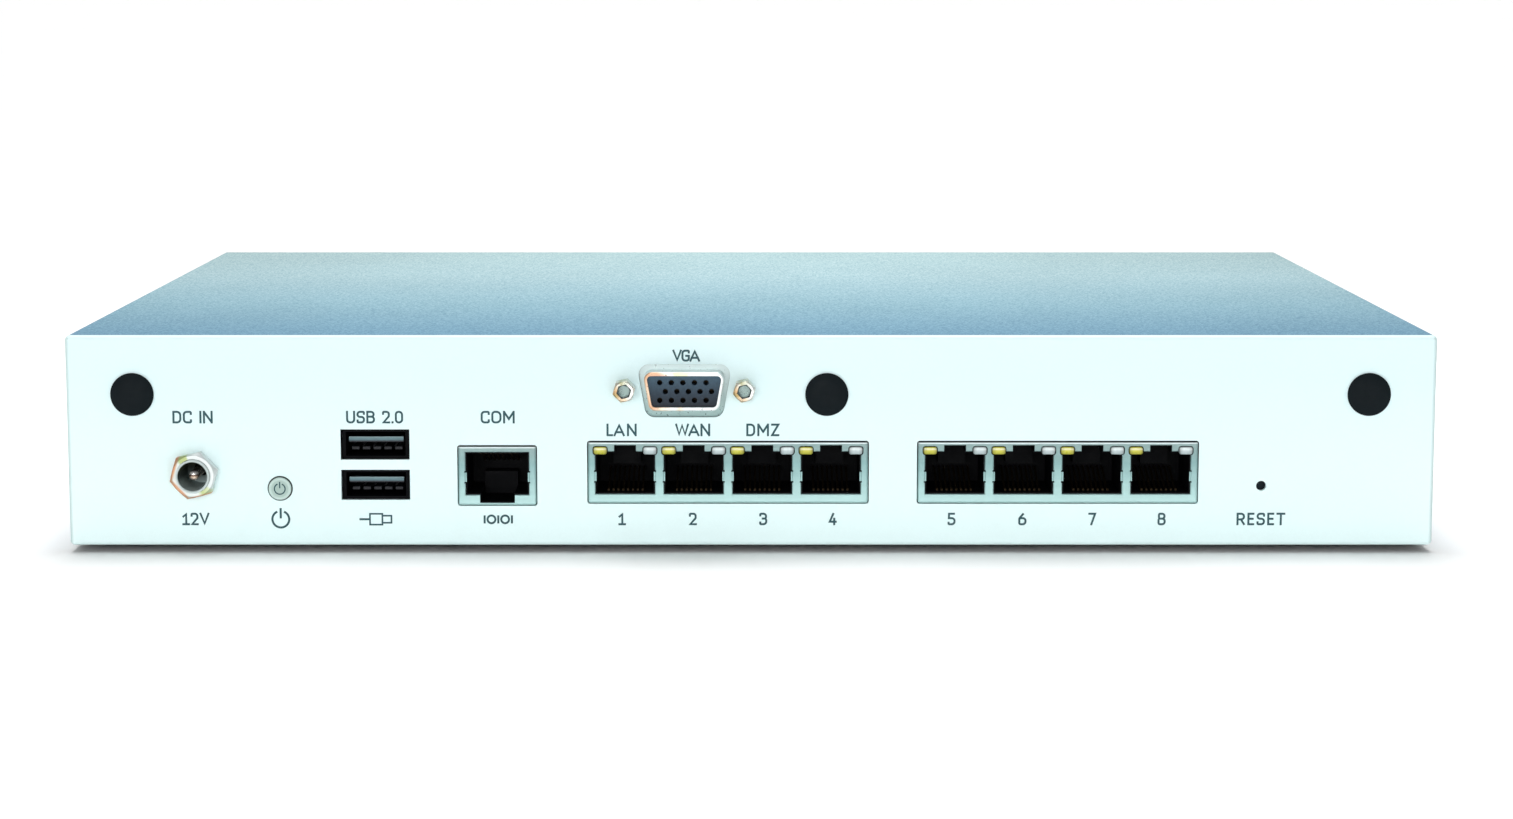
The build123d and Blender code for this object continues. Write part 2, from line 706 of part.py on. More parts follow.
modular_socket(
    names=("console_shield", "console_housing", "console_contacts"),
    block_x=console_x,
    offsets=[0],
    cutout=console_cutout,
    middle=console_middle,
    opening=(13.3, 9.06),
    opening_middle=15.38,
    notch=(7.3, 1.65),
    latch=-1,
    catch=(7.0, 4.9, -1.6),
    lamps=False,
)
for side, block_x in network_block_x.items():
    modular_socket(
        names=(f"network_shield_{side}", f"network_housing_{side}", f"network_contacts_{side}"),
        block_x=block_x,
        offsets=port_offsets,
        cutout=network_cutout,
        middle=network_middle,
        opening=(12.5, 9.04),
        opening_middle=15.56,
        notch=(4.6, 1.3),
        latch=1,
        catch=(5.8, 3.6, 0.6),
        lamps=True,
    )

# ---- Indicator lenses of the network ports: link on the left of each port, activity on its right ----
for name, side in (("link_lenses", -1), ("activity_lenses", 1)):
    with BuildPart() as lenses:
        with BuildSketch(rear_plane(-jack_proud - lamp_proud)):
            with Locations(
                *[
                    (block_x + offset + side * lamp_offset, lamp_height)
                    for block_x in network_block_x.values()
                    for offset in port_offsets
                ]
            ):
                RectangleRounded(*lamp_size, lamp_corner)
        extrude(amount=-lamp_depth)
        fillet(lenses.faces().filter_by(Axis.Y).group_by(Axis.Y)[0].edges(), lamp_round)
    lenses.part.label = name
    export_step(lenses.part, f"parts/{name}.step")

# ---- 15-way D-shaped video socket: flanged shell, insulator, contacts, two jackscrews, ribbon lead ----
d_shell = (17.2, 8.1)
d_wall = 0.75
d_corner = 1.6
flange_size = (30.8, 12.5)
flange_thickness = 0.8
flange_front = sheet + seam
pin_hole_radius = 0.57
pin_column_pitch = 2.4
pin_row_pitch = 1.85
pin_columns = 5
insulator_body = (27.0, 10.8)
insulator_back = 8.3
jackscrew_flats = 4.2
jackscrew_length = 3.6
jackscrew_bore = 1.2
jackscrew_bore_depth = 2.8
jackscrew_mouth = 1.6  # corner radius of the hexagonal mouth round the bore
jackscrew_mouth_depth = 0.4
stud_radius = 1.4
stud_length = 5.0
row_shifts = {-1: -0.25, 0: 0.9, 1: -0.25}
pin_spots = [
    ((column - (pin_columns - 1) / 2) * pin_column_pitch + shift, row * pin_row_pitch)
    for row, shift in row_shifts.items()
    for column in range(pin_columns)
]
contact_recess = 4.0  # from the shell's rim to the contacts' ends
with BuildPart() as video_shell:
    with BuildSketch(rear_plane(flange_front)):
        with Locations(video_spot):
            RectangleRounded(*flange_size, 1.5)
    extrude(amount=-flange_thickness)
    with BuildSketch(rear_plane(-connector_reach)):
        with Locations(video_spot):
            add(d_outline(*d_shell, d_corner))
    extrude(amount=-(connector_reach + flange_front + 0.1))
    fillet(video_shell.faces().sort_by(Axis.Y)[0].edges(), 0.35)
    with BuildSketch(rear_plane(-connector_reach)):
        with Locations(video_spot):
            add(d_outline(d_shell[0] - 2 * d_wall, d_shell[1] - 2 * d_wall, d_corner - d_wall))
            with GridLocations(video_screw_spacing, 0, 2, 1):
                Circle(stud_radius + 0.15)
    extrude(amount=-(connector_reach + 4), mode=Mode.SUBTRACT)
video_shell.part.label = "video_shell"
export_step(video_shell.part, "parts/video_shell.step")

with BuildPart() as video_insulator:
    inset = 2 * (d_wall + seam)
    with BuildSketch(rear_plane(0.5 - connector_reach)):
        with Locations(video_spot):
            add(d_outline(d_shell[0] - inset, d_shell[1] - inset, d_corner - d_wall - seam))
    extrude(amount=-(connector_reach + flange_front + flange_thickness + 0.5))
    with BuildSketch(rear_plane(flange_front + flange_thickness + seam)):
        with Locations(video_spot):
            Rectangle(*insulator_body)
            with GridLocations(video_screw_spacing, 0, 2, 1):
                Circle(3.0, mode=Mode.SUBTRACT)
    extrude(amount=-(insulator_back - flange_front - flange_thickness - seam))
    with BuildSketch(rear_plane(-connector_reach)):
        with Locations(video_spot):
            with Locations(*pin_spots):
                Circle(pin_hole_radius)
    extrude(amount=-(connector_reach + insulator_back + 1), mode=Mode.SUBTRACT)
video_insulator.part.label = "video_insulator"
export_step(video_insulator.part, "parts/video_insulator.step")

with BuildPart() as video_contacts:
    with BuildSketch(rear_plane(contact_recess - connector_reach)):
        with Locations(video_spot):
            with Locations(*pin_spots):
                Circle(pin_hole_radius - 0.1)
    extrude(amount=-(insulator_back + connector_reach - contact_recess))
video_contacts.part.label = "video_contacts"
export_step(video_contacts.part, "parts/video_contacts.step")

with BuildPart() as video_jackscrews:
    for side in (-1, 1):
        spot = (video_spot[0] + side * video_screw_spacing / 2, video_spot[1])
        with Locations(rear_spot(spot)):
            add(hex_body(jackscrew_flats, jackscrew_length, None, nut_turn, 0.5))
            Cylinder(stud_radius, stud_length, align=(Align.CENTER, Align.CENTER, Align.MAX))
            with Locations((0, 0, jackscrew_length)):
                Hole(jackscrew_bore, depth=jackscrew_bore_depth)
        with BuildSketch(rear_spot(spot, -jackscrew_length)):
            RegularPolygon(jackscrew_mouth, 6, rotation=nut_turn)
        extrude(amount=-jackscrew_mouth_depth, mode=Mode.SUBTRACT)
video_jackscrews.part.label = "video_jackscrews"
export_step(video_jackscrews.part, "parts/video_jackscrews.step")

ribbon_thickness = 0.9
ribbon_width = 19.0
ribbon_bend = 6.0
header_gap = 0.05
video_header_y = rear_y + 38.0
video_header_height = 9.0
with BuildPart() as video_ribbon:
    ribbon_height = base_z + video_spot[1]
    with BuildSketch(Plane.YZ.offset(video_spot[0])):
        with BuildLine():
            FilletPolyline(
                (rear_y + insulator_back, ribbon_height),
                (video_header_y, ribbon_height),
                (video_header_y, board_z + video_header_height + header_gap),
                radius=ribbon_bend,
            )
        trace(line_width=ribbon_thickness)
    extrude(amount=ribbon_width / 2, both=True)
video_ribbon.part.label = "video_ribbon"
export_step(video_ribbon.part, "parts/video_ribbon.step")

# ---- Main board on six hex standoffs, and the screws that hold it ----
standoff_flats = 5.5
standoff_height = board_top - board_thickness - sheet
storage_x = -72.0
storage_back = -34.0
storage_size = (22.0, 80.0, 0.8)
storage_lift = 2.6  # underside of the storage module above the board
storage_top = board_z + storage_lift + storage_size[2]
storage_chip = (14.0, 16.0, 1.2)
storage_chip_pitch = 20.0
storage_fixing = (storage_x, storage_back + storage_size[1])
with BuildPart() as main_board:
    with Locations((0, board_back, board_z - board_thickness)):
        Box(2 * board_half_width, board_front - board_back, board_thickness, align=BEHIND)
    fillet(main_board.edges().filter_by(Axis.Z), 2.0)
    with Locations(*[(x, y, board_z) for x, y in standoff_spots + [storage_fixing]]):
        Hole(screw_radius + hole_slack)
main_board.part.label = "main_board"
export_step(main_board.part, "parts/main_board.step")

with BuildPart() as standoffs:
    with Locations(*[(x, y, base_z + sheet) for x, y in standoff_spots]):
        add(hex_body(standoff_flats, standoff_height, screw_radius + thread_slack, 0, 0.3))
    with Locations((*storage_fixing, board_z)):
        add(hex_body(standoff_flats, storage_lift, screw_radius + thread_slack, 0, 0.3))
standoffs.part.label = "standoffs"
export_step(standoffs.part, "parts/standoffs.step")

with BuildPart() as board_screws:
    with Locations(*[(x, y, board_z) for x, y in standoff_spots]):
        add(pan_head_screw(screw_radius, board_thickness + standoff_height - 1, *pan_head))
    with Locations((*storage_fixing, storage_top)):
        add(pan_head_screw(screw_radius, storage_lift, *pan_head))
board_screws.part.label = "board_screws"
export_step(board_screws.part, "parts/board_screws.step")

# ---- Processor, thermal pad, finned heatsink and its four screws ----
processor_spot = (8.0, -16.0)
processor_size = 27.0
processor_height = 2.2
pad_thickness = 0.5
heatsink_size = 54.0
heatsink_base = 4.0
fin_height = 15.0
fin_thickness = 1.2
fin_count = 13
heatsink_hole_pitch = 46.0
heatsink_screw_radius = 1.2
heatsink_z = board_z + processor_height + pad_thickness
with BuildPart() as processor:
    with Locations((*processor_spot, board_z)):
        Box(processor_size, processor_size, 1.0, align=LOW)
        with Locations((0, 0, 1.0)):
            Box(0.8 * processor_size, 0.8 * processor_size, processor_height - 1.0, align=LOW)
    chamfer(processor.faces().sort_by(Axis.Z)[-1].edges(), 0.3)
processor.part.label = "processor"
export_step(processor.part, "parts/processor.step")

with BuildPart() as thermal_pad:
    with Locations((*processor_spot, board_z + processor_height)):
        Box(0.8 * processor_size, 0.8 * processor_size, pad_thickness, align=LOW)
thermal_pad.part.label = "thermal_pad"
export_step(thermal_pad.part, "parts/thermal_pad.step")

with BuildPart() as heatsink:
    with Locations((*processor_spot, heatsink_z)):
        Box(heatsink_size, heatsink_size, heatsink_base, align=LOW)
        with Locations((0, 0, heatsink_base)):
            with GridLocations((heatsink_size - fin_thickness) / (fin_count - 1), 0, fin_count, 1):
                Box(fin_thickness, heatsink_size, fin_height, align=LOW)
            with GridLocations(heatsink_hole_pitch, heatsink_hole_pitch, 2, 2):
                Cylinder(4.0, fin_height + 1, align=LOW, mode=Mode.SUBTRACT)
        with Locations((0, 0, heatsink_base)):
            with GridLocations(heatsink_hole_pitch, heatsink_hole_pitch, 2, 2):
                Hole(heatsink_screw_radius + hole_slack, depth=heatsink_base + 1)
heatsink.part.label = "heatsink"
export_step(heatsink.part, "parts/heatsink.step")

with BuildPart() as heatsink_screws:
    with Locations((*processor_spot, heatsink_z + heatsink_base)):
        with GridLocations(heatsink_hole_pitch, heatsink_hole_pitch, 2, 2):
            add(
                pan_head_screw(
                    heatsink_screw_radius,
                    heatsink_base + pad_thickness + processor_height,
                    2.4,
                    1.8,
                )
            )
heatsink_screws.part.label = "heatsink_screws"
export_step(heatsink_screws.part, "parts/heatsink_screws.step")

# ---- Memory module lying in its socket, and storage module in its own ----
memory_x = 78.0
memory_back = -40.0
memory_size = (67.6, 30.0, 1.0)
memory_lift = 3.0
memory_top = board_z + memory_lift + memory_size[2]
memory_chip = (9.0, 11.0, 1.0)
memory_chip_pitch = 16.0
memory_socket_depth = 6.5
memory_arm = (1.6, memory_size[1], 4.6)
memory_arm_offset = 35.6
with BuildPart() as memory_socket:
    with Locations((memory_x, memory_back - memory_socket_depth, board_z)):
        Box(73.0, memory_socket_depth + 3.0, 5.2, align=BEHIND)
    with Locations((memory_x, memory_back - 2.0, board_z + memory_lift - seam)):
        Box(memory_size[0] + 2 * seam, 10, memory_size[2] + 2 * seam, align=BEHIND, mode=Mode.SUBTRACT)
    for side in (-1, 1):
        with Locations((memory_x + side * memory_arm_offset, memory_back, board_z)):
            Box(*memory_arm, align=BEHIND)
memory_socket.part.label = "memory_socket"
export_step(memory_socket.part, "parts/memory_socket.step")

with BuildPart() as memory_module:
    with Locations((memory_x, memory_back - 2.0 + seam, board_z + memory_lift)):
        Box(*memory_size, align=BEHIND)
    with Locations((memory_x, memory_back + memory_size[1] / 2, memory_top)):
        with GridLocations(memory_chip_pitch, 0, 4, 1):
            Box(*memory_chip, align=LOW)
memory_module.part.label = "memory_module"
export_step(memory_module.part, "parts/memory_module.step")

with BuildPart() as storage_socket:
    with Locations((storage_x, storage_back - 5.0, board_z)):
        Box(storage_size[0], 8.0, 4.2, align=BEHIND)
    with Locations((storage_x, storage_back - 1.0, board_z + storage_lift - seam)):
        Box(
            storage_size[0] + 1,
            10,
            storage_size[2] + 2 * seam,
            align=BEHIND,
            mode=Mode.SUBTRACT,
        )
storage_socket.part.label = "storage_socket"
export_step(storage_socket.part, "parts/storage_socket.step")

with BuildPart() as storage_module:
    with Locations((storage_x, storage_back, board_z + storage_lift)):
        Box(*storage_size, align=BEHIND)
    with Locations((storage_x, storage_back + 0.45 * storage_size[1], storage_top)):
        with GridLocations(0, storage_chip_pitch, 1, 3):
            Box(*storage_chip, align=LOW)
    with Locations((*storage_fixing, storage_top)):
        Hole(screw_radius + hole_slack)
storage_module.part.label = "storage_module"
export_step(storage_module.part, "parts/storage_module.step")

# ---- Coin cell in its holder ----
cell_spot = (-100.0, 36.0)
cell_radius = 10.0
cell_height = 3.2
holder_floor = 1.2
holder_wall = 1.6
finger_gap = 7.0
with BuildPart() as coin_cell_holder:
    with Locations((*cell_spot, board_z)):
        Cylinder(cell_radius + holder_wall, cell_height + holder_floor, align=LOW)
        with Locations((0, 0, holder_floor)):
            Cylinder(cell_radius + seam, cell_height + 1, align=LOW, mode=Mode.SUBTRACT)
            Box(2 * cell_radius + 6, finger_gap, cell_height + 1, align=LOW, mode=Mode.SUBTRACT)
coin_cell_holder.part.label = "coin_cell_holder"
export_step(coin_cell_holder.part, "parts/coin_cell_holder.step")

with BuildPart() as coin_cell:
    with Locations((*cell_spot, board_z + holder_floor)):
        Cylinder(cell_radius, cell_height, align=LOW)
    chamfer(coin_cell.faces().sort_by(Axis.Z)[-1].edges(), 0.4)
coin_cell.part.label = "coin_cell"
export_step(coin_cell.part, "parts/coin_cell.step")

# ---- Network controller chips behind their ports, power inductors and capacitors ----
network_chip = (7.0, 7.0, 0.9)
network_chip_depth = 26.0
with BuildPart() as network_chips:
    for block_x in network_block_x.values():
        for offset in port_offsets:
            with Locations((block_x + offset, rear_y + network_chip_depth, board_z)):
                Box(*network_chip, align=LOW)
    chamfer(network_chips.faces().filter_by(Axis.Z).group_by(Axis.Z)[-1].edges(), 0.15)
network_chips.part.label = "network_chips"
export_step(network_chips.part, "parts/network_chips.step")

inductor_spot = (-108.0, -40.0)
inductor_size = (8.0, 8.0, 4.5)
inductor_pitch = 12.0
with BuildPart() as power_inductors:
    with Locations((*inductor_spot, board_z)):
        with GridLocations(inductor_pitch, inductor_pitch, 2, 2):
            Box(*inductor_size, align=LOW)
    fillet(power_inductors.edges().filter_by(Axis.Z), 1.2)
power_inductors.part.label = "power_inductors"
export_step(power_inductors.part, "parts/power_inductors.step")

capacitor_rows = [(-98.0, -62.0), (44.0, 30.0)]
capacitor_radius = 4.0
capacitor_height = 11.0
capacitor_pitch = 10.0
with BuildPart() as capacitors:
    with Locations(*[(x, y, board_z) for x, y in capacitor_rows]):
        with GridLocations(capacitor_pitch, 0, 3, 1):
            Cylinder(capacitor_radius, capacitor_height, align=LOW)
    fillet(capacitors.faces().filter_by(Axis.Z).group_by(Axis.Z)[-1].edges(), 0.8)
capacitors.part.label = "capacitors"
export_step(capacitors.part, "parts/capacitors.step")

# ---- Pin headers: video, indicator and fan leads plug in here ----
indicator_header_y = 45.0
indicator_header_height = 7.0
fan_header_spot = (-116.0, 40.0)
fan_header_height = 7.0
with BuildPart() as pin_headers:
    with Locations((video_spot[0], video_header_y, board_z)):
        Box(24.0, 6.0, video_header_height, align=LOW)
    with Locations((0, indicator_header_y, board_z)):
        Box(22.0, 5.0, indicator_header_height, align=LOW)
    with Locations((*fan_header_spot, board_z)):
        Box(6.0, 7.6, fan_header_height, align=LOW)
    chamfer(pin_headers.edges().filter_by(Axis.Z), 0.3)
pin_headers.part.label = "pin_headers"
export_step(pin_headers.part, "parts/pin_headers.step")

# ---- Cooling fan on the left wall: frame with bearing, rotor on its shaft, screws and lead ----
fan_outer_x = -flange_x + sheet + seam
fan_inner_x = fan_outer_x + fan_thickness
hub_radius = 9.0
blade_count = 7
blade_tip = 17.9
blade_turn = 38.0
blade_section = (6.4, 0.9)
hub_length = 6.6
hub_wall = 1.2
rotor_gap = 0.8  # between the fan's outer face and the hub
hub_x = fan_outer_x + rotor_gap
shaft_radius = 1.0
bearing_slack = 0.05
motor_radius = 8.0
motor_thickness = 2.0
with BuildPart() as fan_frame:
    with BuildSketch(side_plane(fan_outer_x)):
        with Locations((fan_y, fan_height)):
            RectangleRounded(fan_size, fan_size, 2.5)
            Circle(duct_radius, mode=Mode.SUBTRACT)
            with GridLocations(fan_hole_pitch, fan_hole_pitch, 2, 2):
                Circle(screw_radius + hole_slack, mode=Mode.SUBTRACT)
    extrude(amount=fan_thickness)
    # motor plate held by four spokes at the inner face, with a bearing tube for the shaft
    with BuildSketch(side_plane(fan_inner_x - motor_thickness)):
        with Locations((fan_y, fan_height)):
            Circle(motor_radius)
            with PolarLocations(0, 4, start_angle=45):
                Rectangle(duct_radius + 0.5, 2.2, align=(Align.MIN, Align.CENTER))
    extrude(amount=motor_thickness)
    with BuildSketch(side_plane(fan_inner_x - 7.0)):
        with Locations((fan_y, fan_height)):
            Circle(shaft_radius + 1.6)
    extrude(amount=6.0)
    with BuildSketch(side_plane(fan_inner_x - 7.5)):
        with Locations((fan_y, fan_height)):
            Circle(shaft_radius + bearing_slack)
    extrude(amount=6.5, mode=Mode.SUBTRACT)
fan_frame.part.label = "fan_frame"
export_step(fan_frame.part, "parts/fan_frame.step")

with BuildPart() as fan_rotor:
    with BuildSketch(side_plane(hub_x)):
        with Locations((fan_y, fan_height)):
            Circle(hub_radius)
    extrude(amount=hub_length)
    fillet(fan_rotor.faces().sort_by(Axis.X)[0].edges(), 0.8)
    with BuildSketch(side_plane(hub_x + hub_wall)):
        with Locations((fan_y, fan_height)):
            Circle(hub_radius - hub_wall)
    extrude(amount=hub_length, mode=Mode.SUBTRACT)
    with BuildSketch(side_plane(hub_x + hub_wall - 0.2)):
        with Locations((fan_y, fan_height)):
            Circle(shaft_radius)
    extrude(amount=hub_length)
    # blades pitched about their own radius, rooted in the hub's wall
    for index in range(blade_count):
        turn = index * 360 / blade_count
        blade_plane = Plane(
            origin=(hub_x + hub_length / 2, fan_y, base_z + fan_height),
            x_dir=(1, 0, 0),
            z_dir=(0, cos(radians(turn)), sin(radians(turn))),
        )
        with BuildSketch(blade_plane.offset(hub_radius - 0.6)):
            Rectangle(*blade_section, rotation=blade_turn)
        extrude(amount=blade_tip - hub_radius + 0.4)
fan_rotor.part.label = "fan_rotor"
export_step(fan_rotor.part, "parts/fan_rotor.step")

with BuildPart() as fan_screws:
    with Locations(side_plane(fan_inner_x)):
        with Locations((fan_y, fan_height)):
            with GridLocations(fan_hole_pitch, fan_hole_pitch, 2, 2):
                add(pan_head_screw(screw_radius, fan_thickness + sheet + seam, *pan_head))
fan_screws.part.label = "fan_screws"
export_step(fan_screws.part, "parts/fan_screws.step")

lead_radius = 1.1
lead_start = (fan_inner_x, fan_y + 11.0, base_z + 14.5)
lead_route = [
    lead_start,
    (fan_inner_x + 6.5, fan_y + 11.0, base_z + 14.5),
    (fan_header_spot[0] - 1.0, fan_y + 20.0, base_z + 21.0),
    (fan_header_spot[0], fan_header_spot[1], base_z + 24.0),
    (fan_header_spot[0], fan_header_spot[1], board_z + fan_header_height),
]
with BuildPart() as fan_lead:
    with BuildLine() as lead_line:
        FilletPolyline(*lead_route, radius=3.4)
    with BuildSketch(Plane(origin=lead_start, z_dir=lead_line.line % 0)):
        Circle(lead_radius)
    sweep()
fan_lead.part.label = "fan_lead"
export_step(fan_lead.part, "parts/fan_lead.step")

# ---- Indicator board behind the front wall, its lamps, the light pipes and the ribbon lead ----
indicator_face_y = front_wall_y - indicator_gap
chip_lamp = (2.0, 0.8, 1.2)
with BuildPart() as indicator_board:
    with Locations((0, indicator_face_y - indicator_board_thickness, base_z + light_height - 9.0)):
        Box(post_pitch + 8, indicator_board_thickness, 18.0, align=BEHIND)
    with BuildSketch(rear_plane(indicator_face_y - rear_y - 3)):
        with Locations(*post_spots):
            Circle(post_pin_radius + seam)
    extrude(amount=-5, mode=Mode.SUBTRACT)
indicator_board.part.label = "indicator_board"
export_step(indicator_board.part, "parts/indicator_board.step")

with BuildPart() as indicator_lamps:
    with Locations(*[(x, indicator_face_y, base_z + height) for x, height in light_spots]):
        Box(*chip_lamp, align=(Align.CENTER, Align.MIN, Align.CENTER))
indicator_lamps.part.label = "indicator_lamps"
export_step(indicator_lamps.part, "parts/indicator_lamps.step")

with BuildPart() as light_pipes:
    with BuildSketch(rear_plane(indicator_face_y + chip_lamp[1] + 0.2 - rear_y)):
        with Locations(*light_spots):
            Circle(light_radius)
    extrude(amount=-(front_y - bezel_recess - 0.3 - indicator_face_y - chip_lamp[1] - 0.2))
    fillet(light_pipes.faces().filter_by(Axis.Y).group_by(Axis.Y)[-1].edges(), 0.4)
light_pipes.part.label = "light_pipes"
export_step(light_pipes.part, "parts/light_pipes.step")

with BuildPart() as indicator_ribbon:
    ribbon_start_y = indicator_face_y - indicator_board_thickness
    ribbon_height = base_z + light_height + 4.0
    with BuildSketch(Plane.YZ):
        with BuildLine():
            FilletPolyline(
                (ribbon_start_y, ribbon_height),
                (indicator_header_y, ribbon_height),
                (indicator_header_y, board_z + indicator_header_height + header_gap),
                radius=ribbon_bend,
            )
        trace(line_width=ribbon_thickness)
    extrude(amount=ribbon_width / 2, both=True)
indicator_ribbon.part.label = "indicator_ribbon"
export_step(indicator_ribbon.part, "parts/indicator_ribbon.step")
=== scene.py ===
import bpy
import bmesh
import json
import math
from mathutils import Matrix, Vector


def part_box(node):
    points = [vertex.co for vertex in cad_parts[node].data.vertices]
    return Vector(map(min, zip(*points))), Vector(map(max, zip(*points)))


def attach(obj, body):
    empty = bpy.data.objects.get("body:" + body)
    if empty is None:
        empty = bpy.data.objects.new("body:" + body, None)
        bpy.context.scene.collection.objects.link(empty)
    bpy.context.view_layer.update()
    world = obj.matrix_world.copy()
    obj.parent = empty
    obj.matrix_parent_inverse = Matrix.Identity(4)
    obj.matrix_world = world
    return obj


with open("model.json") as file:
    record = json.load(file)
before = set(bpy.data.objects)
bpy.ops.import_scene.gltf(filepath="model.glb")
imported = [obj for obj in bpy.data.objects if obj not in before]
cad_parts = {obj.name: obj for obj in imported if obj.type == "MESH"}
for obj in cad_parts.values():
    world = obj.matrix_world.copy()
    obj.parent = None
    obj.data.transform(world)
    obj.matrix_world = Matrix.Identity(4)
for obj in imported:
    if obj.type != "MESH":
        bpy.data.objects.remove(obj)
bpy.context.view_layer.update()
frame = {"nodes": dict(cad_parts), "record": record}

MM = 0.001
PORT_PITCH = 14.35  # between neighbouring network ports, in millimetres as all below
LENS_WIDTH = 2.85  # of one indicator lens
USB_PITCH = 8.55  # from the lower serial port up to the upper one
SCREW_SPACING = 25.0  # between the video socket's jackscrews

# ---- Places on the object, all read from the frame ----
base_low, base_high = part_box("base_chassis")
cover_low, cover_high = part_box("top_cover")
rear_y = base_low.y
case_z = base_low.z


def centre_of(node):
    """Middle of a CAD node's box."""
    low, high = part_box(node)
    return (low + high) / 2


def rear_point(x, height, proud=0.0):
    """Point on the rear face: x from the middle, height above the case's bottom, all in millimetres."""
    return Vector((x * MM, rear_y - proud * MM, case_z + height * MM))


# ---- Materials ----
def srgb(red, green, blue):
    """Linear colour of an sRGB colour given in 0 to 255."""
    def linear(value):
        value /= 255
        return value / 12.92 if value <= 0.04045 else ((value + 0.055) / 1.055) ** 2.4

    return (linear(red), linear(green), linear(blue), 1.0)


class Finish:
    """A procedural material: one Principled shader, fed by textures in the object's own space."""

    def __init__(self, name, colour, roughness, metallic=0.0, **sockets):
        self.material = bpy.data.materials.new(name)
        self.material.use_nodes = True
        self.tree = self.material.node_tree
        self.shader = self.tree.nodes["Principled BSDF"]
        self.shader.inputs["Base Color"].default_value = colour
        self.shader.inputs["Roughness"].default_value = roughness
        self.shader.inputs["Metallic"].default_value = metallic
        for socket, value in sockets.items():
            self.shader.inputs[socket.replace("_", " ")].default_value = value
        self.place = self.tree.nodes.new("ShaderNodeTexCoord").outputs["Object"]

    def link(self, source, target):
        self.tree.links.new(source, target)

    def math(self, operation, first, second):
        node = self.tree.nodes.new("ShaderNodeMath")
        node.operation = operation
        for socket, value in zip(node.inputs, (first, second)):
            if isinstance(value, (int, float)):
                socket.default_value = value
            else:
                self.link(value, socket)
        return node.outputs[0]

    def stretch(self, scale):
        """Object coordinates stretched by a scale for each axis."""
        node = self.tree.nodes.new("ShaderNodeMapping")
        node.inputs["Scale"].default_value = scale
        self.link(self.place, node.inputs["Vector"])
        return node.outputs["Vector"]

    def noise(self, scale, detail=3.0, roughness=0.55, stretch=None):
        node = self.tree.nodes.new("ShaderNodeTexNoise")
        node.inputs["Scale"].default_value = scale
        node.inputs["Detail"].default_value = detail
        node.inputs["Roughness"].default_value = roughness
        self.link(self.stretch(stretch) if stretch else self.place, node.inputs["Vector"])
        return node.outputs["Fac"]

    def range(self, value, low, high, to_low, to_high):
        node = self.tree.nodes.new("ShaderNodeMapRange")
        for socket, number in zip(list(node.inputs)[1:5], (low, high, to_low, to_high)):
            socket.default_value = number
        self.link(value, node.inputs["Value"])
        return node.outputs["Result"]

    def mix(self, factor, first, second, blend="MIX"):
        node = self.tree.nodes.new("ShaderNodeMix")
        node.data_type = "RGBA"
        node.blend_type = blend
        colours = [socket for socket in node.inputs if socket.type == "RGBA"]
        factors = [socket for socket in node.inputs if socket.type == "VALUE"]
        for socket, value in ((factors[0], factor), (colours[0], first), (colours[1], second)):
            if isinstance(value, (int, float, tuple)):
                socket.default_value = value
            else:
                self.link(value, socket)
        return next(socket for socket in node.outputs if socket.type == "RGBA")

    def ramp(self, value, stops):
        """Colour that runs through stops of (position, colour); the positions may be on any scale."""
        first, last = stops[0][0], stops[-1][0]
        node = self.tree.nodes.new("ShaderNodeValToRGB")
        elements = node.color_ramp.elements
        while len(elements) < len(stops):
            elements.new(1.0)
        for element, (position, colour) in zip(elements, stops):
            element.position = (position - first) / (last - first)
            element.color = colour
        self.link(self.range(value, first, last, 0.0, 1.0), node.inputs["Fac"])
        return node.outputs["Color"]

    def above(self, value, edge, soft=0.00003):
        """One where the value is past the edge, zero before it."""
        return self.range(value, edge - soft, edge + soft, 0.0, 1.0)

    def inverse(self, value):
        """One minus a value."""
        return self.math("SUBTRACT", 1.0, value)

    def product(self, *values):
        """Several values multiplied together."""
        result = values[0]
        for value in values[1:]:
            result = self.math("MULTIPLY", result, value)
        return result

    def offset(self, axis, place):
        """Distance along one axis from a place, in metres."""
        return self.math("SUBTRACT", self.axis(axis), place)

    def angle_round(self, across, up):
        """Angle in degrees, -180 to 180, of a place across and up from a centre on the rear face."""
        return self.math("MULTIPLY", self.math("ARCTAN2", up, across), 180 / math.pi)

    def radius_round(self, across, up):
        """Distance of such a place from the centre."""
        squares = self.math("ADD", self.math("MULTIPLY", across, across), self.math("MULTIPLY", up, up))
        return self.math("SQRT", squares, 0.5)

    def colour(self, source):
        self.link(source, self.shader.inputs["Base Color"])

    def roughness(self, source):
        self.link(source, self.shader.inputs["Roughness"])

    def bump(self, height, strength, distance):
        node = self.tree.nodes.new("ShaderNodeBump")
        node.inputs["Strength"].default_value = strength
        node.inputs["Distance"].default_value = distance
        self.link(height, node.inputs["Height"])
        self.link(node.outputs["Normal"], self.shader.inputs["Normal"])

    def axis(self, name):
        """One coordinate of the place on the object, in metres."""
        node = self.tree.nodes.new("ShaderNodeSeparateXYZ")
        self.link(self.place, node.inputs[0])
        return node.outputs[name]


def shade(colour, factor):
    """A colour made darker or lighter by a factor."""
    return tuple(channel * factor for channel in colour[:3]) + (1.0,)


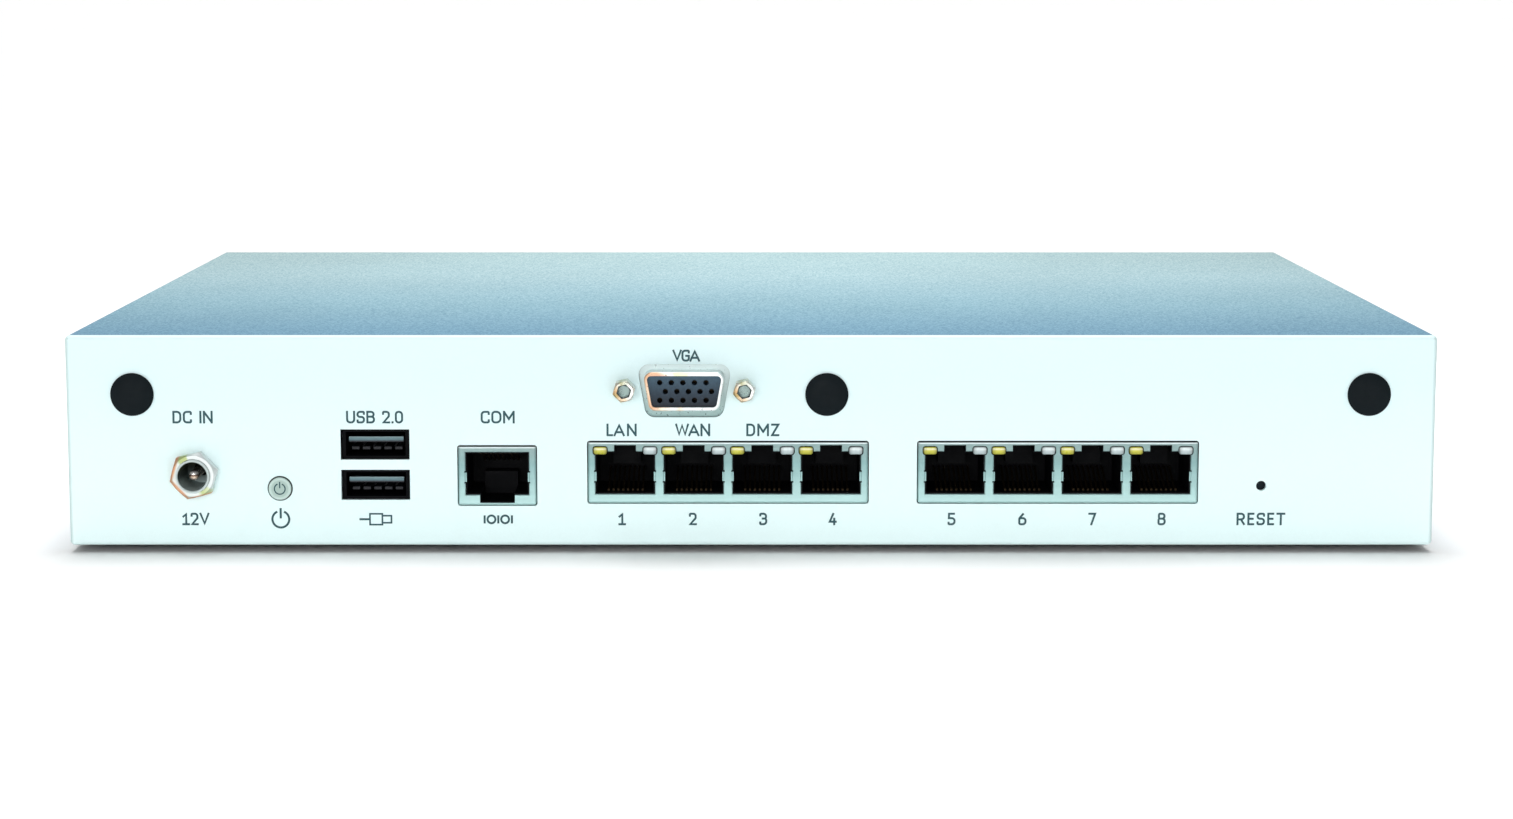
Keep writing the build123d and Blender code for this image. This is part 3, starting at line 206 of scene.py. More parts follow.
def powder_coat():
    """White powder coat of the chassis: cool tint, orange peel, lighter towards the bottom as painted light,
    with painted shade on the side edges, in the cutouts, inside and underneath.
    """
    high = srgb(220, 243, 245)
    low = srgb(231, 252, 252)
    finish = Finish("powder_coat", high, 0.42, Specular_IOR_Level=0.4)
    # painted light: the lower part of the coat is made lighter to offset the shade near the floor
    fall = finish.range(finish.axis("Z"), case_z + 6 * MM, case_z + 36 * MM, 1.0, 0.0)
    grain = finish.range(finish.noise(2600, 2), 0.35, 0.65, 0.985, 1.0)
    painted = finish.mix(1.0, finish.mix(fall, high, low), grain, "MULTIPLY")
    # painted shade: a grey band on the rounded side edges, where the bend turns away from the light
    sideways = finish.math("ABSOLUTE", finish.axis("X"), 0)
    edge = finish.range(sideways, base_high.x - 0.9 * MM, base_high.x - 0.3 * MM, 0.0, 1.0)
    painted = finish.mix(edge, painted, srgb(190, 212, 212))
    # the coat reaches round the lower lips of the socket cutouts
    low_down = finish.range(finish.axis("Z"), case_z + 14 * MM, case_z + 20 * MM, 1.0, 0.0)
    in_sheet = finish.inverse(finish.above(finish.axis("Y"), rear_y + 1.1 * MM))
    lip = finish.product(low_down, in_sheet)
    # inside the bends, inside the case and on the cutouts' walls the steel is painted near black: painted
    # shade that darkens the gaps round the sockets
    painted_shade_inside = finish.product(
        finish.above(finish.axis("Y"), rear_y + 0.12 * MM),
        finish.inverse(finish.above(sideways, base_high.x - 0.6 * MM)),
        finish.above(finish.axis("Z"), case_z + 0.6 * MM),
        finish.inverse(finish.above(finish.axis("Z"), base_high.z - 0.6 * MM)),
        finish.inverse(lip),
    )
    # painted shade: the underside is dark teal so the shadow under the case comes out darker and greener
    shadow_deepening_underside = finish.inverse(finish.above(finish.axis("Z"), case_z + 0.12 * MM))
    coat = finish.mix(painted_shade_inside, painted, srgb(30, 33, 36))
    finish.colour(finish.mix(shadow_deepening_underside, coat, srgb(36, 60, 64)))
    finish.roughness(finish.range(finish.noise(700), 0.3, 0.7, 0.38, 0.5))
    finish.bump(finish.noise(1300, 2), 0.08, 0.0002)
    return finish.material


def cover_coat():
    """Blue grey textured coat of the cover, kept darker than the chassis's white as painted shade on the top:
    a fine speckle over a broad, soft unevenness, and painted light that makes the far part lighter than the
    near part.
    """
    # the blue grey tones are partly painted shade: the cover is kept darker than the chassis's white
    dark = srgb(104, 149, 171)
    light = srgb(158, 198, 216)
    finish = Finish("cover_coat", light, 0.6, Specular_IOR_Level=0.15)
    speckle = finish.range(finish.noise(2100, 4, 0.7), 0.36, 0.64, 0.0, 1.0)
    tone = finish.mix(speckle, dark, light)
    broad = finish.range(finish.noise(18, 2), 0.3, 0.7, 0.96, 1.03)
    tone = finish.mix(1.0, tone, broad, "MULTIPLY")
    deep = cover_high.y - cover_low.y
    # painted light: towards its far part the cover is lighter and warmer, towards its near part darker
    painted_light_ramp = finish.ramp(finish.axis("Y"), [
        (cover_low.y, (0.56, 0.63, 0.69, 1.0)),
        (cover_low.y + 0.3 * deep, (0.80, 0.76, 0.72, 1.0)),
        (cover_low.y + 0.65 * deep, (1.0, 0.81, 0.70, 1.0)),
        (cover_high.y, (0.95, 0.74, 0.61, 1.0)),
    ])
    finish.colour(finish.mix(1.0, tone, painted_light_ramp, "MULTIPLY"))
    finish.roughness(finish.range(speckle, 0.0, 1.0, 0.62, 0.5))
    finish.bump(finish.noise(1500, 3), 0.25, 0.0002)
    return finish.material


def moulded(name, colour, roughness, grain=900, strength=0.12, spread=0.25, **sockets):
    """Moulded plastic or rubber: fine grain, slightly uneven colour and gloss."""
    finish = Finish(name, colour, roughness, **sockets)
    uneven = finish.noise(grain / 6, 3)
    finish.colour(finish.mix(uneven, shade(colour, 1 - spread), shade(colour, 1 + spread)))
    finish.roughness(finish.range(finish.noise(grain / 3), 0.3, 0.7, roughness - 0.07, roughness + 0.07))
    finish.bump(finish.noise(grain), strength, 0.0001)
    return finish.material


def plated(name, colour, tint, roughness, scale=350, patchy=0.6):
    """Plated metal whose tone drifts to a tint in soft patches, with fine wear in its gloss."""
    finish = Finish(name, colour, roughness, metallic=1.0)
    patches = finish.range(finish.noise(scale, 2), 0.42, 0.62, 0.0, patchy)
    finish.colour(finish.mix(patches, colour, tint))
    finish.roughness(finish.range(finish.noise(scale * 5), 0.3, 0.7, roughness * 0.7, roughness * 1.4))
    finish.bump(finish.noise(scale * 8), 0.04, 0.0001)
    return finish.material


def shield_tin(node):
    """Tin plated shield: brushed along X, darker upwards as painted shade, then a painted highlight band
    along its rounded top edge and a painted shadow line at the very top.
    """
    low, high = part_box(node)
    tall = high.z - low.z
    bright = srgb(222, 236, 236)
    finish = Finish(node + "_tin", srgb(206, 233, 230), 0.45, metallic=0.5)
    # painted shade deepening upwards, a painted highlight band, then a painted shadow line at the top edge
    tone = finish.ramp(finish.axis("Z"), [
        (low.z, srgb(175, 209, 207)),
        (low.z + 0.25 * tall, srgb(163, 198, 196)),
        (low.z + 0.65 * tall, srgb(131, 167, 167)),
        (high.z - 0.42 * MM, srgb(134, 157, 156)),
        (high.z - 0.36 * MM, bright),
        (high.z - 0.16 * MM, bright),
        (high.z - 0.12 * MM, srgb(60, 64, 70)),
        (high.z, srgb(48, 52, 58)),
    ])
    lines = finish.range(finish.noise(900, 3, stretch=(0.08, 1, 1)), 0.3, 0.7, 0.95, 1.03)
    finish.colour(finish.mix(1.0, tone, lines, "MULTIPLY"))
    finish.roughness(finish.range(finish.noise(1500), 0.3, 0.7, 0.38, 0.52))
    return finish.material


def brushed(name, colour, roughness, stretch):
    """Machined or rolled metal with fine lines along one axis."""
    finish = Finish(name, colour, roughness, metallic=1.0)
    lines = finish.noise(1200, 3, stretch=stretch)
    finish.colour(finish.mix(lines, shade(colour, 0.82), shade(colour, 1.08)))
    finish.roughness(finish.range(lines, 0.3, 0.7, roughness - 0.08, roughness + 0.08))
    finish.bump(lines, 0.05, 0.0001)
    return finish.material


def board_laminate():
    """Green solder mask over copper: pale traces, pads and a faint weave."""
    finish = Finish("board_laminate", srgb(20, 92, 48), 0.32, Coat_Weight=0.4, Coat_Roughness=0.2)
    wave = finish.tree.nodes.new("ShaderNodeTexBrick")
    wave.inputs["Scale"].default_value = 160
    wave.inputs["Mortar Size"].default_value = 0.03
    wave.inputs["Color1"].default_value = srgb(18, 84, 44)
    wave.inputs["Color2"].default_value = srgb(22, 98, 52)
    wave.inputs["Mortar"].default_value = srgb(48, 132, 74)
    finish.link(finish.place, wave.inputs["Vector"])
    finish.colour(finish.mix(finish.noise(220), wave.outputs["Color"], srgb(15, 70, 38)))
    finish.bump(finish.noise(2400), 0.05, 0.0001)
    return finish.material


def port_lens(node, stops):
    """Indicator lens: glossy, its tone running from painted shade at its lower edge to a painted highlight
    band near its top, with painted shade towards its ends.
    """
    low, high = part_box(node)
    finish = Finish(node + "_tint", stops[0][1], 0.3, Coat_Weight=0.2, Coat_Roughness=0.1, IOR=1.49)
    height = finish.range(finish.axis("Z"), low.z, high.z, 0.0, 1.0)
    tone = finish.ramp(height, stops)
    # the right block repeats the left one's lens spacing from its own start
    right_block = finish.above(finish.axis("X"), (low.x + high.x) / 2)
    start = finish.range(right_block, 0.0, 1.0, low.x, high.x - 3 * PORT_PITCH * MM - LENS_WIDTH * MM)
    local = finish.math("MODULO", finish.math("SUBTRACT", finish.axis("X"), start), PORT_PITCH * MM)
    # painted shade towards each lens's left and right ends
    sides = finish.ramp(local, [
        (0.0, srgb(150, 150, 150)), (0.35 * MM, srgb(225, 225, 225)), (0.9 * MM, srgb(255, 255, 255)),
        ((LENS_WIDTH - 0.9) * MM, srgb(255, 255, 255)), ((LENS_WIDTH - 0.35) * MM, srgb(225, 225, 225)),
        (LENS_WIDTH * MM, srgb(150, 150, 150)),
    ])
    finish.colour(finish.mix(1.0, tone, sides, "MULTIPLY"))
    finish.roughness(finish.range(finish.noise(1600, 2), 0.3, 0.7, 0.24, 0.36))
    return finish.material


def clear_resin(name, colour):
    """Clear resin or acrylic: pale, glossy, faintly cloudy."""
    finish = Finish(name, colour, 0.16, Coat_Weight=0.7, Coat_Roughness=0.05, IOR=1.49)
    cloud = finish.noise(700, 2)
    finish.colour(finish.mix(cloud, shade(colour, 0.8), shade(colour, 1.12)))
    finish.roughness(finish.range(cloud, 0.3, 0.7, 0.12, 0.22))
    return finish.material


def nut_nickel():
    """Nickel of the power inlet's nut: pale, with painted reflections: copper along three of its sides, olive
    at two corners.
    """
    low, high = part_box("dc_jack_nut")
    centre = (low + high) / 2
    finish = Finish("nut_nickel", srgb(210, 216, 214), 0.36, metallic=0.6)
    across = finish.offset("X", centre.x)
    up = finish.offset("Z", centre.z)
    white = srgb(212, 220, 218)
    olive = srgb(178, 190, 130)
    grey = srgb(204, 208, 202)
    # painted reflections: the face's tone changes with the angle round the nut
    face = finish.ramp(finish.angle_round(across, up), [
        (-180, grey), (-75, white), (-62, olive), (-40, srgb(196, 206, 168)), (-34, white),
        (60, srgb(220, 226, 226)), (104, white), (110, olive), (132, olive), (140, white), (180, grey),
    ])
    # the nut is turned so that a corner stands 13 degrees above level; painted copper reflections follow
    # three sides
    corner = (high.x - low.x) / 2 / math.cos(math.radians(13))
    flat = corner * math.cos(math.radians(30))
    copper = 0.0
    for turn, inset in ((163, 0.75), (-137, 0.85), (-77, 0.45)):
        reach = finish.math(
            "ADD",
            finish.math("MULTIPLY", across, math.cos(math.radians(turn))),
            finish.math("MULTIPLY", up, math.sin(math.radians(turn))),
        )
        strip = finish.range(reach, flat - inset * MM, flat - (inset - 0.35) * MM, 0.0, 1.0)
        copper = finish.math("MAXIMUM", copper, strip)
    finish.colour(finish.mix(copper, face, srgb(196, 146, 112)))
    finish.roughness(finish.range(finish.noise(1500), 0.3, 0.7, 0.3, 0.42))
    return finish.material


def barrel_nickel():
    """Nickel of the power inlet's barrel: a pale rim with a painted highlight round a bore that darkens to
    olive towards its top as painted shade.
    """
    centre = centre_of("dc_jack_nut")
    finish = Finish("barrel_nickel", srgb(186, 196, 196), 0.5, metallic=0.1, Specular_IOR_Level=0.3)
    across = finish.offset("X", centre.x)
    up = finish.offset("Z", centre.z)
    # painted shade: the bore runs from pale at its bottom to olive and black at its top
    bore = finish.ramp(up, [
        (-3.0 * MM, srgb(186, 202, 202)), (-1.6 * MM, srgb(150, 166, 164)), (-0.6 * MM, srgb(84, 96, 94)),
        (0.4 * MM, srgb(46, 52, 44)), (1.4 * MM, srgb(70, 74, 48)), (2.3 * MM, srgb(38, 40, 28)),
        (3.1 * MM, srgb(12, 13, 10)),
    ])
    radius = finish.radius_round(across, up)
    # painted highlight across the rim's rounded edge
    rim = finish.ramp(radius, [
        (3.05 * MM, srgb(120, 132, 130)), (3.2 * MM, srgb(178, 190, 188)), (3.45 * MM, srgb(206, 216, 215)),
        (3.7 * MM, srgb(150, 160, 158)),
    ])
    finish.colour(finish.mix(finish.above(radius, 3.08 * MM), bore, rim))
    finish.roughness(finish.range(finish.noise(1800), 0.3, 0.7, 0.42, 0.6))
    return finish.material


def pin_metal():
    """Polished centre pin: painted reflections, bright above and below a dark band."""
    centre = centre_of("dc_jack_pin")
    finish = Finish("pin_metal", srgb(240, 230, 220), 0.22, metallic=0.7)
    finish.colour(finish.ramp(finish.offset("Z", centre.z), [
        (-1.05 * MM, srgb(120, 96, 84)), (-0.75 * MM, srgb(240, 222, 206)), (-0.3 * MM, srgb(222, 196, 174)),
        (-0.05 * MM, srgb(120, 96, 80)), (0.15 * MM, srgb(84, 66, 56)), (0.35 * MM, srgb(240, 238, 234)),
        (0.75 * MM, srgb(255, 255, 255)), (1.05 * MM, srgb(90, 76, 70)),
    ]))
    finish.roughness(finish.range(finish.noise(2500), 0.3, 0.7, 0.16, 0.28))
    return finish.material


def jackscrew_nickel():
    """Nickel of the jackscrews: painted reflections in cream, tan and olive round the sides, a dark mouth
    painted as shade and a pale bottom of the bore.
    """
    low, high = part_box("video_jackscrews")
    middle = (low.x + high.x) / 2
    finish = Finish("jackscrew_nickel", srgb(236, 236, 226), 0.3, metallic=0.8)
    sideways = finish.offset("X", middle)
    side = finish.math("SIGN", sideways, 0)
    across = finish.math("SUBTRACT", sideways, finish.math("MULTIPLY", side, SCREW_SPACING / 2 * MM))
    up = finish.offset("Z", (low.z + high.z) / 2)
    tan = srgb(196, 162, 120)
    # painted reflections: the tone changes with the angle round each screw
    hexagon_reflections = finish.ramp(finish.angle_round(across, up), [
        (-180, tan), (-150, srgb(172, 152, 100)), (-120, srgb(214, 190, 160)), (-80, srgb(220, 200, 174)),
        (-50, srgb(232, 232, 226)), (30, srgb(226, 232, 228)), (80, srgb(204, 208, 190)),
        (110, srgb(172, 170, 134)), (130, srgb(214, 212, 200)), (155, srgb(204, 184, 154)), (180, tan),
    ])
    mouth = finish.inverse(finish.above(finish.radius_round(across, up), 1.62 * MM))
    # painted shade on the walls of the threaded mouth
    mouth_shade = finish.product(mouth, finish.above(finish.axis("Y"), low.y + 0.06 * MM))
    deep = finish.product(mouth, finish.above(finish.axis("Y"), low.y + 2.6 * MM))
    tone = finish.mix(mouth_shade, hexagon_reflections, srgb(62, 70, 70))
    finish.colour(finish.mix(deep, tone, srgb(150, 170, 166)))
    finish.roughness(finish.range(finish.noise(1500), 0.3, 0.7, 0.22, 0.38))
    return finish.material


def video_shell_nickel():
    """The video socket's shell: a bright rim with painted reflections in tan and olive round its left, and a
    satin grey flange and sides with painted shade, darker towards the bottom.
    """
    centre = centre_of("video_insulator")
    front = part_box("video_shell")[0].y
    finish = Finish("video_shell_nickel", srgb(236, 240, 240), 0.3, metallic=0.7)
    across = finish.offset("X", centre.x)
    up = finish.offset("Z", centre.z)
    white = srgb(226, 234, 234)
    tan = srgb(204, 162, 130)
    # painted reflections: the rim's tone changes with the angle round the socket
    rim = finish.ramp(finish.angle_round(across, up), [
        (-180, srgb(230, 202, 176)), (-152, tan), (-140, srgb(242, 226, 206)), (-118, white),
        (-105, srgb(236, 214, 190)), (-84, white), (72, white), (80, srgb(222, 226, 192)),
        (120, srgb(212, 218, 178)), (124, white), (134, srgb(232, 220, 208)), (146, srgb(206, 164, 136)),
        (158, tan), (180, srgb(230, 202, 176)),
    ])
    # painted shade: flange and sides darker towards the bottom, lighter towards the top
    satin = finish.ramp(up, [
        (-5.6 * MM, srgb(142, 168, 166)), (0.0, srgb(170, 188, 187)), (5.6 * MM, srgb(188, 202, 202)),
    ])
    behind_rim = finish.above(finish.axis("Y"), front + 0.42 * MM)
    finish.colour(finish.mix(behind_rim, rim, satin))
    finish.roughness(finish.range(finish.noise(1500), 0.3, 0.7, 0.26, 0.4))
    return finish.material


def video_plastic():
    """Slate blue insulator of the video socket, deeper in tone towards its bottom as painted shade."""
    low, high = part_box("video_contacts")
    finish = Finish("video_plastic", srgb(45, 62, 78), 0.42, Specular_IOR_Level=0.25)
    # painted shade: darker towards the bottom
    tone = finish.ramp(finish.axis("Z"), [
        (low.z - 1.2 * MM, srgb(16, 25, 34)),
        (low.z + 1.5 * MM, srgb(34, 50, 64)),
        (high.z + 1.2 * MM, srgb(60, 86, 103)),
    ])
    grain = finish.range(finish.noise(1800), 0.3, 0.7, 0.9, 1.08)
    finish.colour(finish.mix(1.0, tone, grain, "MULTIPLY"))
    finish.bump(finish.noise(2200), 0.08, 0.0001)
    return finish.material


def tongue_plastic():
    """Insert of the two serial sockets: slate tips of the tongues with a painted highlight towards their
    tops, all else nearly black, painted darker further in as shade.
    """
    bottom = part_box("usb_inserts")[0].z
    finish = Finish("tongue_plastic", srgb(82, 105, 110), 0.45, Specular_IOR_Level=0.3)
    height = finish.math("MODULO", finish.offset("Z", bottom), USB_PITCH * MM)
    tongue = finish.above(height, 2.65 * MM)
    front = finish.inverse(finish.above(finish.axis("Y"), rear_y + 2.6 * MM))
    # painted highlight: the tongues' fronts lighter towards their tops
    painted_tongue_light = finish.ramp(height, [
        (2.98 * MM, srgb(30, 36, 44)), (3.12 * MM, srgb(88, 114, 122)), (3.5 * MM, srgb(98, 128, 134)),
        (3.86 * MM, srgb(130, 154, 158)),
    ])
    tone = finish.mix(tongue, srgb(34, 38, 46), painted_tongue_light)
    # painted shade: further into the sockets the plastic is darker
    finish.colour(finish.mix(front, finish.mix(tongue, srgb(26, 29, 36), srgb(16, 20, 26)), tone))
    finish.bump(finish.noise(1500), 0.08, 0.0001)
    return finish.material


def button_plastic():
    """Pale grey green cap of the power button, darker in its middle as painted shade and lighter towards its
    edge; its collar and stem painted near black as shade in the gap round the cap.
    """
    low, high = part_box("power_button")
    centre = (low + high) / 2
    finish = Finish("button_plastic", srgb(188, 212, 205), 0.36, Specular_IOR_Level=0.4)
    radius = finish.radius_round(finish.offset("X", centre.x), finish.offset("Z", centre.z))
    # painted shade in the middle of the cap, lighter towards its edge
    cap = finish.ramp(radius, [
        (0.0, srgb(164, 188, 180)), (1.7 * MM, srgb(170, 194, 186)), (1.85 * MM, srgb(184, 206, 199)),
        (2.2 * MM, srgb(194, 214, 208)),
    ])
    grain = finish.range(finish.noise(1200), 0.3, 0.7, 0.97, 1.02)
    # painted shade: behind its front the button is near black, darkening the gap round the cap
    deep = finish.above(finish.axis("Y"), low.y + 0.45 * MM)
    finish.colour(finish.mix(deep, finish.mix(1.0, cap, grain, "MULTIPLY"), srgb(14, 16, 16)))
    finish.bump(finish.noise(1500), 0.05, 0.0001)
    return finish.material


def ribbon_vinyl():
    """Grey ribbon lead: parallel wires show as fine ridges along its length, with painted shade in the
    grooves.
    """
    finish = Finish("ribbon_vinyl", srgb(150, 152, 154), 0.45)
    ridge = finish.math("SINE", finish.math("MULTIPLY", finish.axis("X"), 2 * math.pi / (1.27 * MM)), 0)
    height = finish.range(ridge, -1, 1, 0, 1)
    # painted shade: the colour darkens where the ridges dip
    finish.colour(finish.mix(height, srgb(96, 98, 101), srgb(165, 167, 169)))
    finish.bump(height, 0.4, 0.0002)
    return finish.material


black = srgb(20, 22, 24)
materials = {
    "powder_coat": powder_coat(),
    "cover_coat": cover_coat(),
    "bezel_plastic": moulded("bezel_plastic", srgb(168, 184, 190), 0.48, spread=0.03),
    "foot_rubber": moulded("foot_rubber", srgb(26, 26, 28), 0.8, grain=1500, strength=0.3),
    "plug_plastic": moulded(
        "plug_plastic", srgb(11, 20, 24), 0.6, grain=1800, spread=0.12, Specular_IOR_Level=0.1
    ),
    "zinc_screw": plated("zinc_screw", srgb(208, 210, 212), srgb(178, 184, 192), 0.3),
    "nut_nickel": nut_nickel(),
    "barrel_nickel": barrel_nickel(),
    "jackscrew_nickel": jackscrew_nickel(),
    "video_shell_nickel": video_shell_nickel(),
    "pin_metal": pin_metal(),
    "network_tin_left": shield_tin("network_shield_left"),
    "network_tin_right": shield_tin("network_shield_right"),
    "console_tin": shield_tin("console_shield"),
    "dark_tin": moulded("dark_tin", srgb(3, 4, 7), 0.6, grain=700, Specular_IOR_Level=0.08),
    "socket_plastic": moulded("socket_plastic", srgb(4, 5, 8), 0.6, spread=0.15, Specular_IOR_Level=0.08),
    "tongue_plastic": tongue_plastic(),
    "video_plastic": video_plastic(),
    # contacts deep in the sockets: the gold is kept near black as painted shade
    "contact_gold": plated("contact_gold", srgb(58, 48, 34), srgb(42, 34, 24), 0.5, scale=900),
    # the reset plunger at the bottom of its hole, kept near black as painted shade
    "dark_button": moulded("dark_button", srgb(10, 24, 34), 0.5, Specular_IOR_Level=0.2),
    # the video socket's contacts, kept darker still as painted shade in its holes
    "dark_contact": plated("dark_contact", srgb(40, 34, 26), srgb(26, 22, 18), 0.45, scale=900),
    "button_plastic": button_plastic(),
    "switch_plastic": moulded("switch_plastic", srgb(44, 45, 47), 0.5),
    # lens tones from bottom to top: painted shade at the edges and a painted highlight band near the top
    "link_lens": port_lens("link_lenses", [
        (0.0, srgb(96, 98, 24)), (0.14, srgb(166, 164, 36)), (0.4, srgb(192, 188, 52)),
        (0.55, srgb(208, 204, 96)), (0.74, srgb(240, 236, 196)), (0.88, srgb(196, 192, 66)),
        (1.0, srgb(120, 118, 34)),
    ]),
    # the same painted shade and painted highlight for the clear lenses
    "activity_lens": port_lens("activity_lenses", [
        (0.0, srgb(116, 130, 132)), (0.14, srgb(166, 182, 184)), (0.45, srgb(182, 197, 199)),
        (0.72, srgb(222, 233, 233)), (0.88, srgb(202, 214, 214)), (1.0, srgb(136, 150, 152)),
    ]),
    "board_laminate": board_laminate(),
    "standoff_brass": plated("standoff_brass", srgb(212, 178, 104), srgb(180, 140, 76), 0.28),
    "chip_epoxy": moulded("chip_epoxy", srgb(34, 35, 37), 0.55, grain=2000),
    "pad_silicone": moulded("pad_silicone", srgb(158, 172, 186), 0.7),
    "heatsink_alloy": brushed("heatsink_alloy", srgb(196, 198, 200), 0.36, (1, 0.06, 1)),
    "capacitor_can": brushed("capacitor_can", srgb(178, 182, 186), 0.3, (1, 1, 0.1)),
    "cell_steel": brushed("cell_steel", srgb(206, 206, 202), 0.28, (0.1, 1, 1)),
    "ribbon_vinyl": ribbon_vinyl(),
    "fan_plastic": moulded("fan_plastic", black, 0.45),
    "lead_vinyl": moulded("lead_vinyl", black, 0.5),
    "lamp_resin": clear_resin("lamp_resin", srgb(228, 224, 190)),
    "light_pipe": clear_resin("light_pipe", srgb(120, 140, 146)),
    "legend_ink": moulded("legend_ink", srgb(54, 86, 92), 0.6, spread=0.08, Specular_IOR_Level=0.2),
}

# CAD nodes that don't take the material named by their record slot
node_materials = {
    "top_cover": "cover_coat",
    "base_chassis": "powder_coat",
    "network_shield_left": "network_tin_left",
    "network_shield_right": "network_tin_right",
    "console_shield": "console_tin",
    "usb_shell": "dark_tin",
    "usb_inserts": "tongue_plastic",
    "dc_jack_nut": "nut_nickel",
    "dc_jack_barrel": "barrel_nickel",
    "video_jackscrews": "jackscrew_nickel",
    "video_shell": "video_shell_nickel",
    "video_contacts": "dark_contact",
    "reset_plunger": "dark_button",
}
slot_of = {entry["node"]: entry["material_slot"] for entry in frame["record"]["subparts"]}
for node, thing in frame["nodes"].items():
    material = materials[node_materials.get(node, slot_of[node])]
    if not thing.material_slots:
        thing.data.materials.append(material)
    for material_slot in thing.material_slots:
        material_slot.material = material


# ---- Making pieces ----
def add_piece(name, shape, material, body):
    """Turns a bmesh into a piece that rides on a body and takes a finish from the materials table."""
    bmesh.ops.recalc_face_normals(shape, faces=shape.faces)
    mesh = bpy.data.meshes.new(name)
    shape.to_mesh(mesh)
    shape.free()
    mesh.materials.append(materials[material])
    piece = bpy.data.objects.new(name, mesh)
    bpy.context.scene.collection.objects.link(piece)
    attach(piece, body)


def round_corners(points, steps=5):
    """Path of (x, y, radius) points with each corner turned into an arc of its radius."""
    path = [Vector(points[0][:2])]
    for before, corner, after in zip(points, points[1:], points[2:]):
        here = Vector(corner[:2])
        back = Vector(before[:2]) - here
        ahead = Vector(after[:2]) - here
        radius = corner[2]
        if radius <= 0:
            path.append(here)
            continue
        half = back.angle(ahead) / 2
        reach = min(radius / math.tan(half), 0.5 * back.length, 0.5 * ahead.length)
        radius = reach * math.tan(half)
        centre = here + (back.normalized() + ahead.normalized()).normalized() * radius / math.sin(half)
        start = here + back.normalized() * reach - centre
        end = here + ahead.normalized() * reach - centre
        turn = start.angle_signed(end)
        for step in range(steps + 1):
            path.append(centre + Matrix.Rotation(-turn * step / steps, 2) @ start)
    path.append(Vector(points[-1][:2]))
    return path


def add_ribbon(shape, path, width, to_world, closed=False, thickness=0.03):
    """Flat printed stroke along a path in millimetres, a thin closed strip laid on a face."""
    count = len(path)
    rings = []
    for index, point in enumerate(path):
        if closed:
            before, after = path[index - 1], path[(index + 1) % count]
        else:
            before, after = path[max(index - 1, 0)], path[min(index + 1, count - 1)]
        into = (point - before).normalized() if point != before else (after - point).normalized()
        out = (after - point).normalized() if point != after else into
        along = (into + out).normalized()
        across = Vector((-along.y, along.x))
        spread = width / 2 / max(0.5, along.dot(out))
        ring = []
        for side, lift in ((-1, 0), (1, 0), (1, 1), (-1, 1)):
            place = point + across * side * spread
            ring.append(shape.verts.new(to_world(place.x, place.y, lift * thickness)))
        rings.append(ring)
    last = count if closed else count - 1
    for index in range(last):
        first, second = rings[index], rings[(index + 1) % count]
        for corner in range(4):
            following = (corner + 1) % 4
            shape.faces.new((first[corner], first[following], second[following], second[corner]))
    if not closed:
        shape.faces.new(rings[0][::-1])
        shape.faces.new(rings[-1])


def ring_path(x, y, radius, start=0.0, sweep=360.0, steps=32):
    """Points of an arc; a full circle leaves out its last point."""
    count = steps if sweep >= 360 else steps + 1
    return [
        Vector((
            x + radius * math.cos(math.radians(start + sweep * step / steps)),
            y + radius * math.sin(math.radians(start + sweep * step / steps)),
        ))
        for step in range(count)
    ]


# ---- Legend alphabet: each glyph's width, then its strokes as (x, y, corner radius) in cap heights ----
def bowl(left, bottom, right, top, radius):
    """Closed round-cornered box drawn as one stroke."""
    middle = (bottom + top) / 2
    return [
        (left, middle, 0),
        (left, top, radius),
        (right, top, radius),
        (right, bottom, radius),
        (left, bottom, radius),
        (left, middle, 0),
    ]


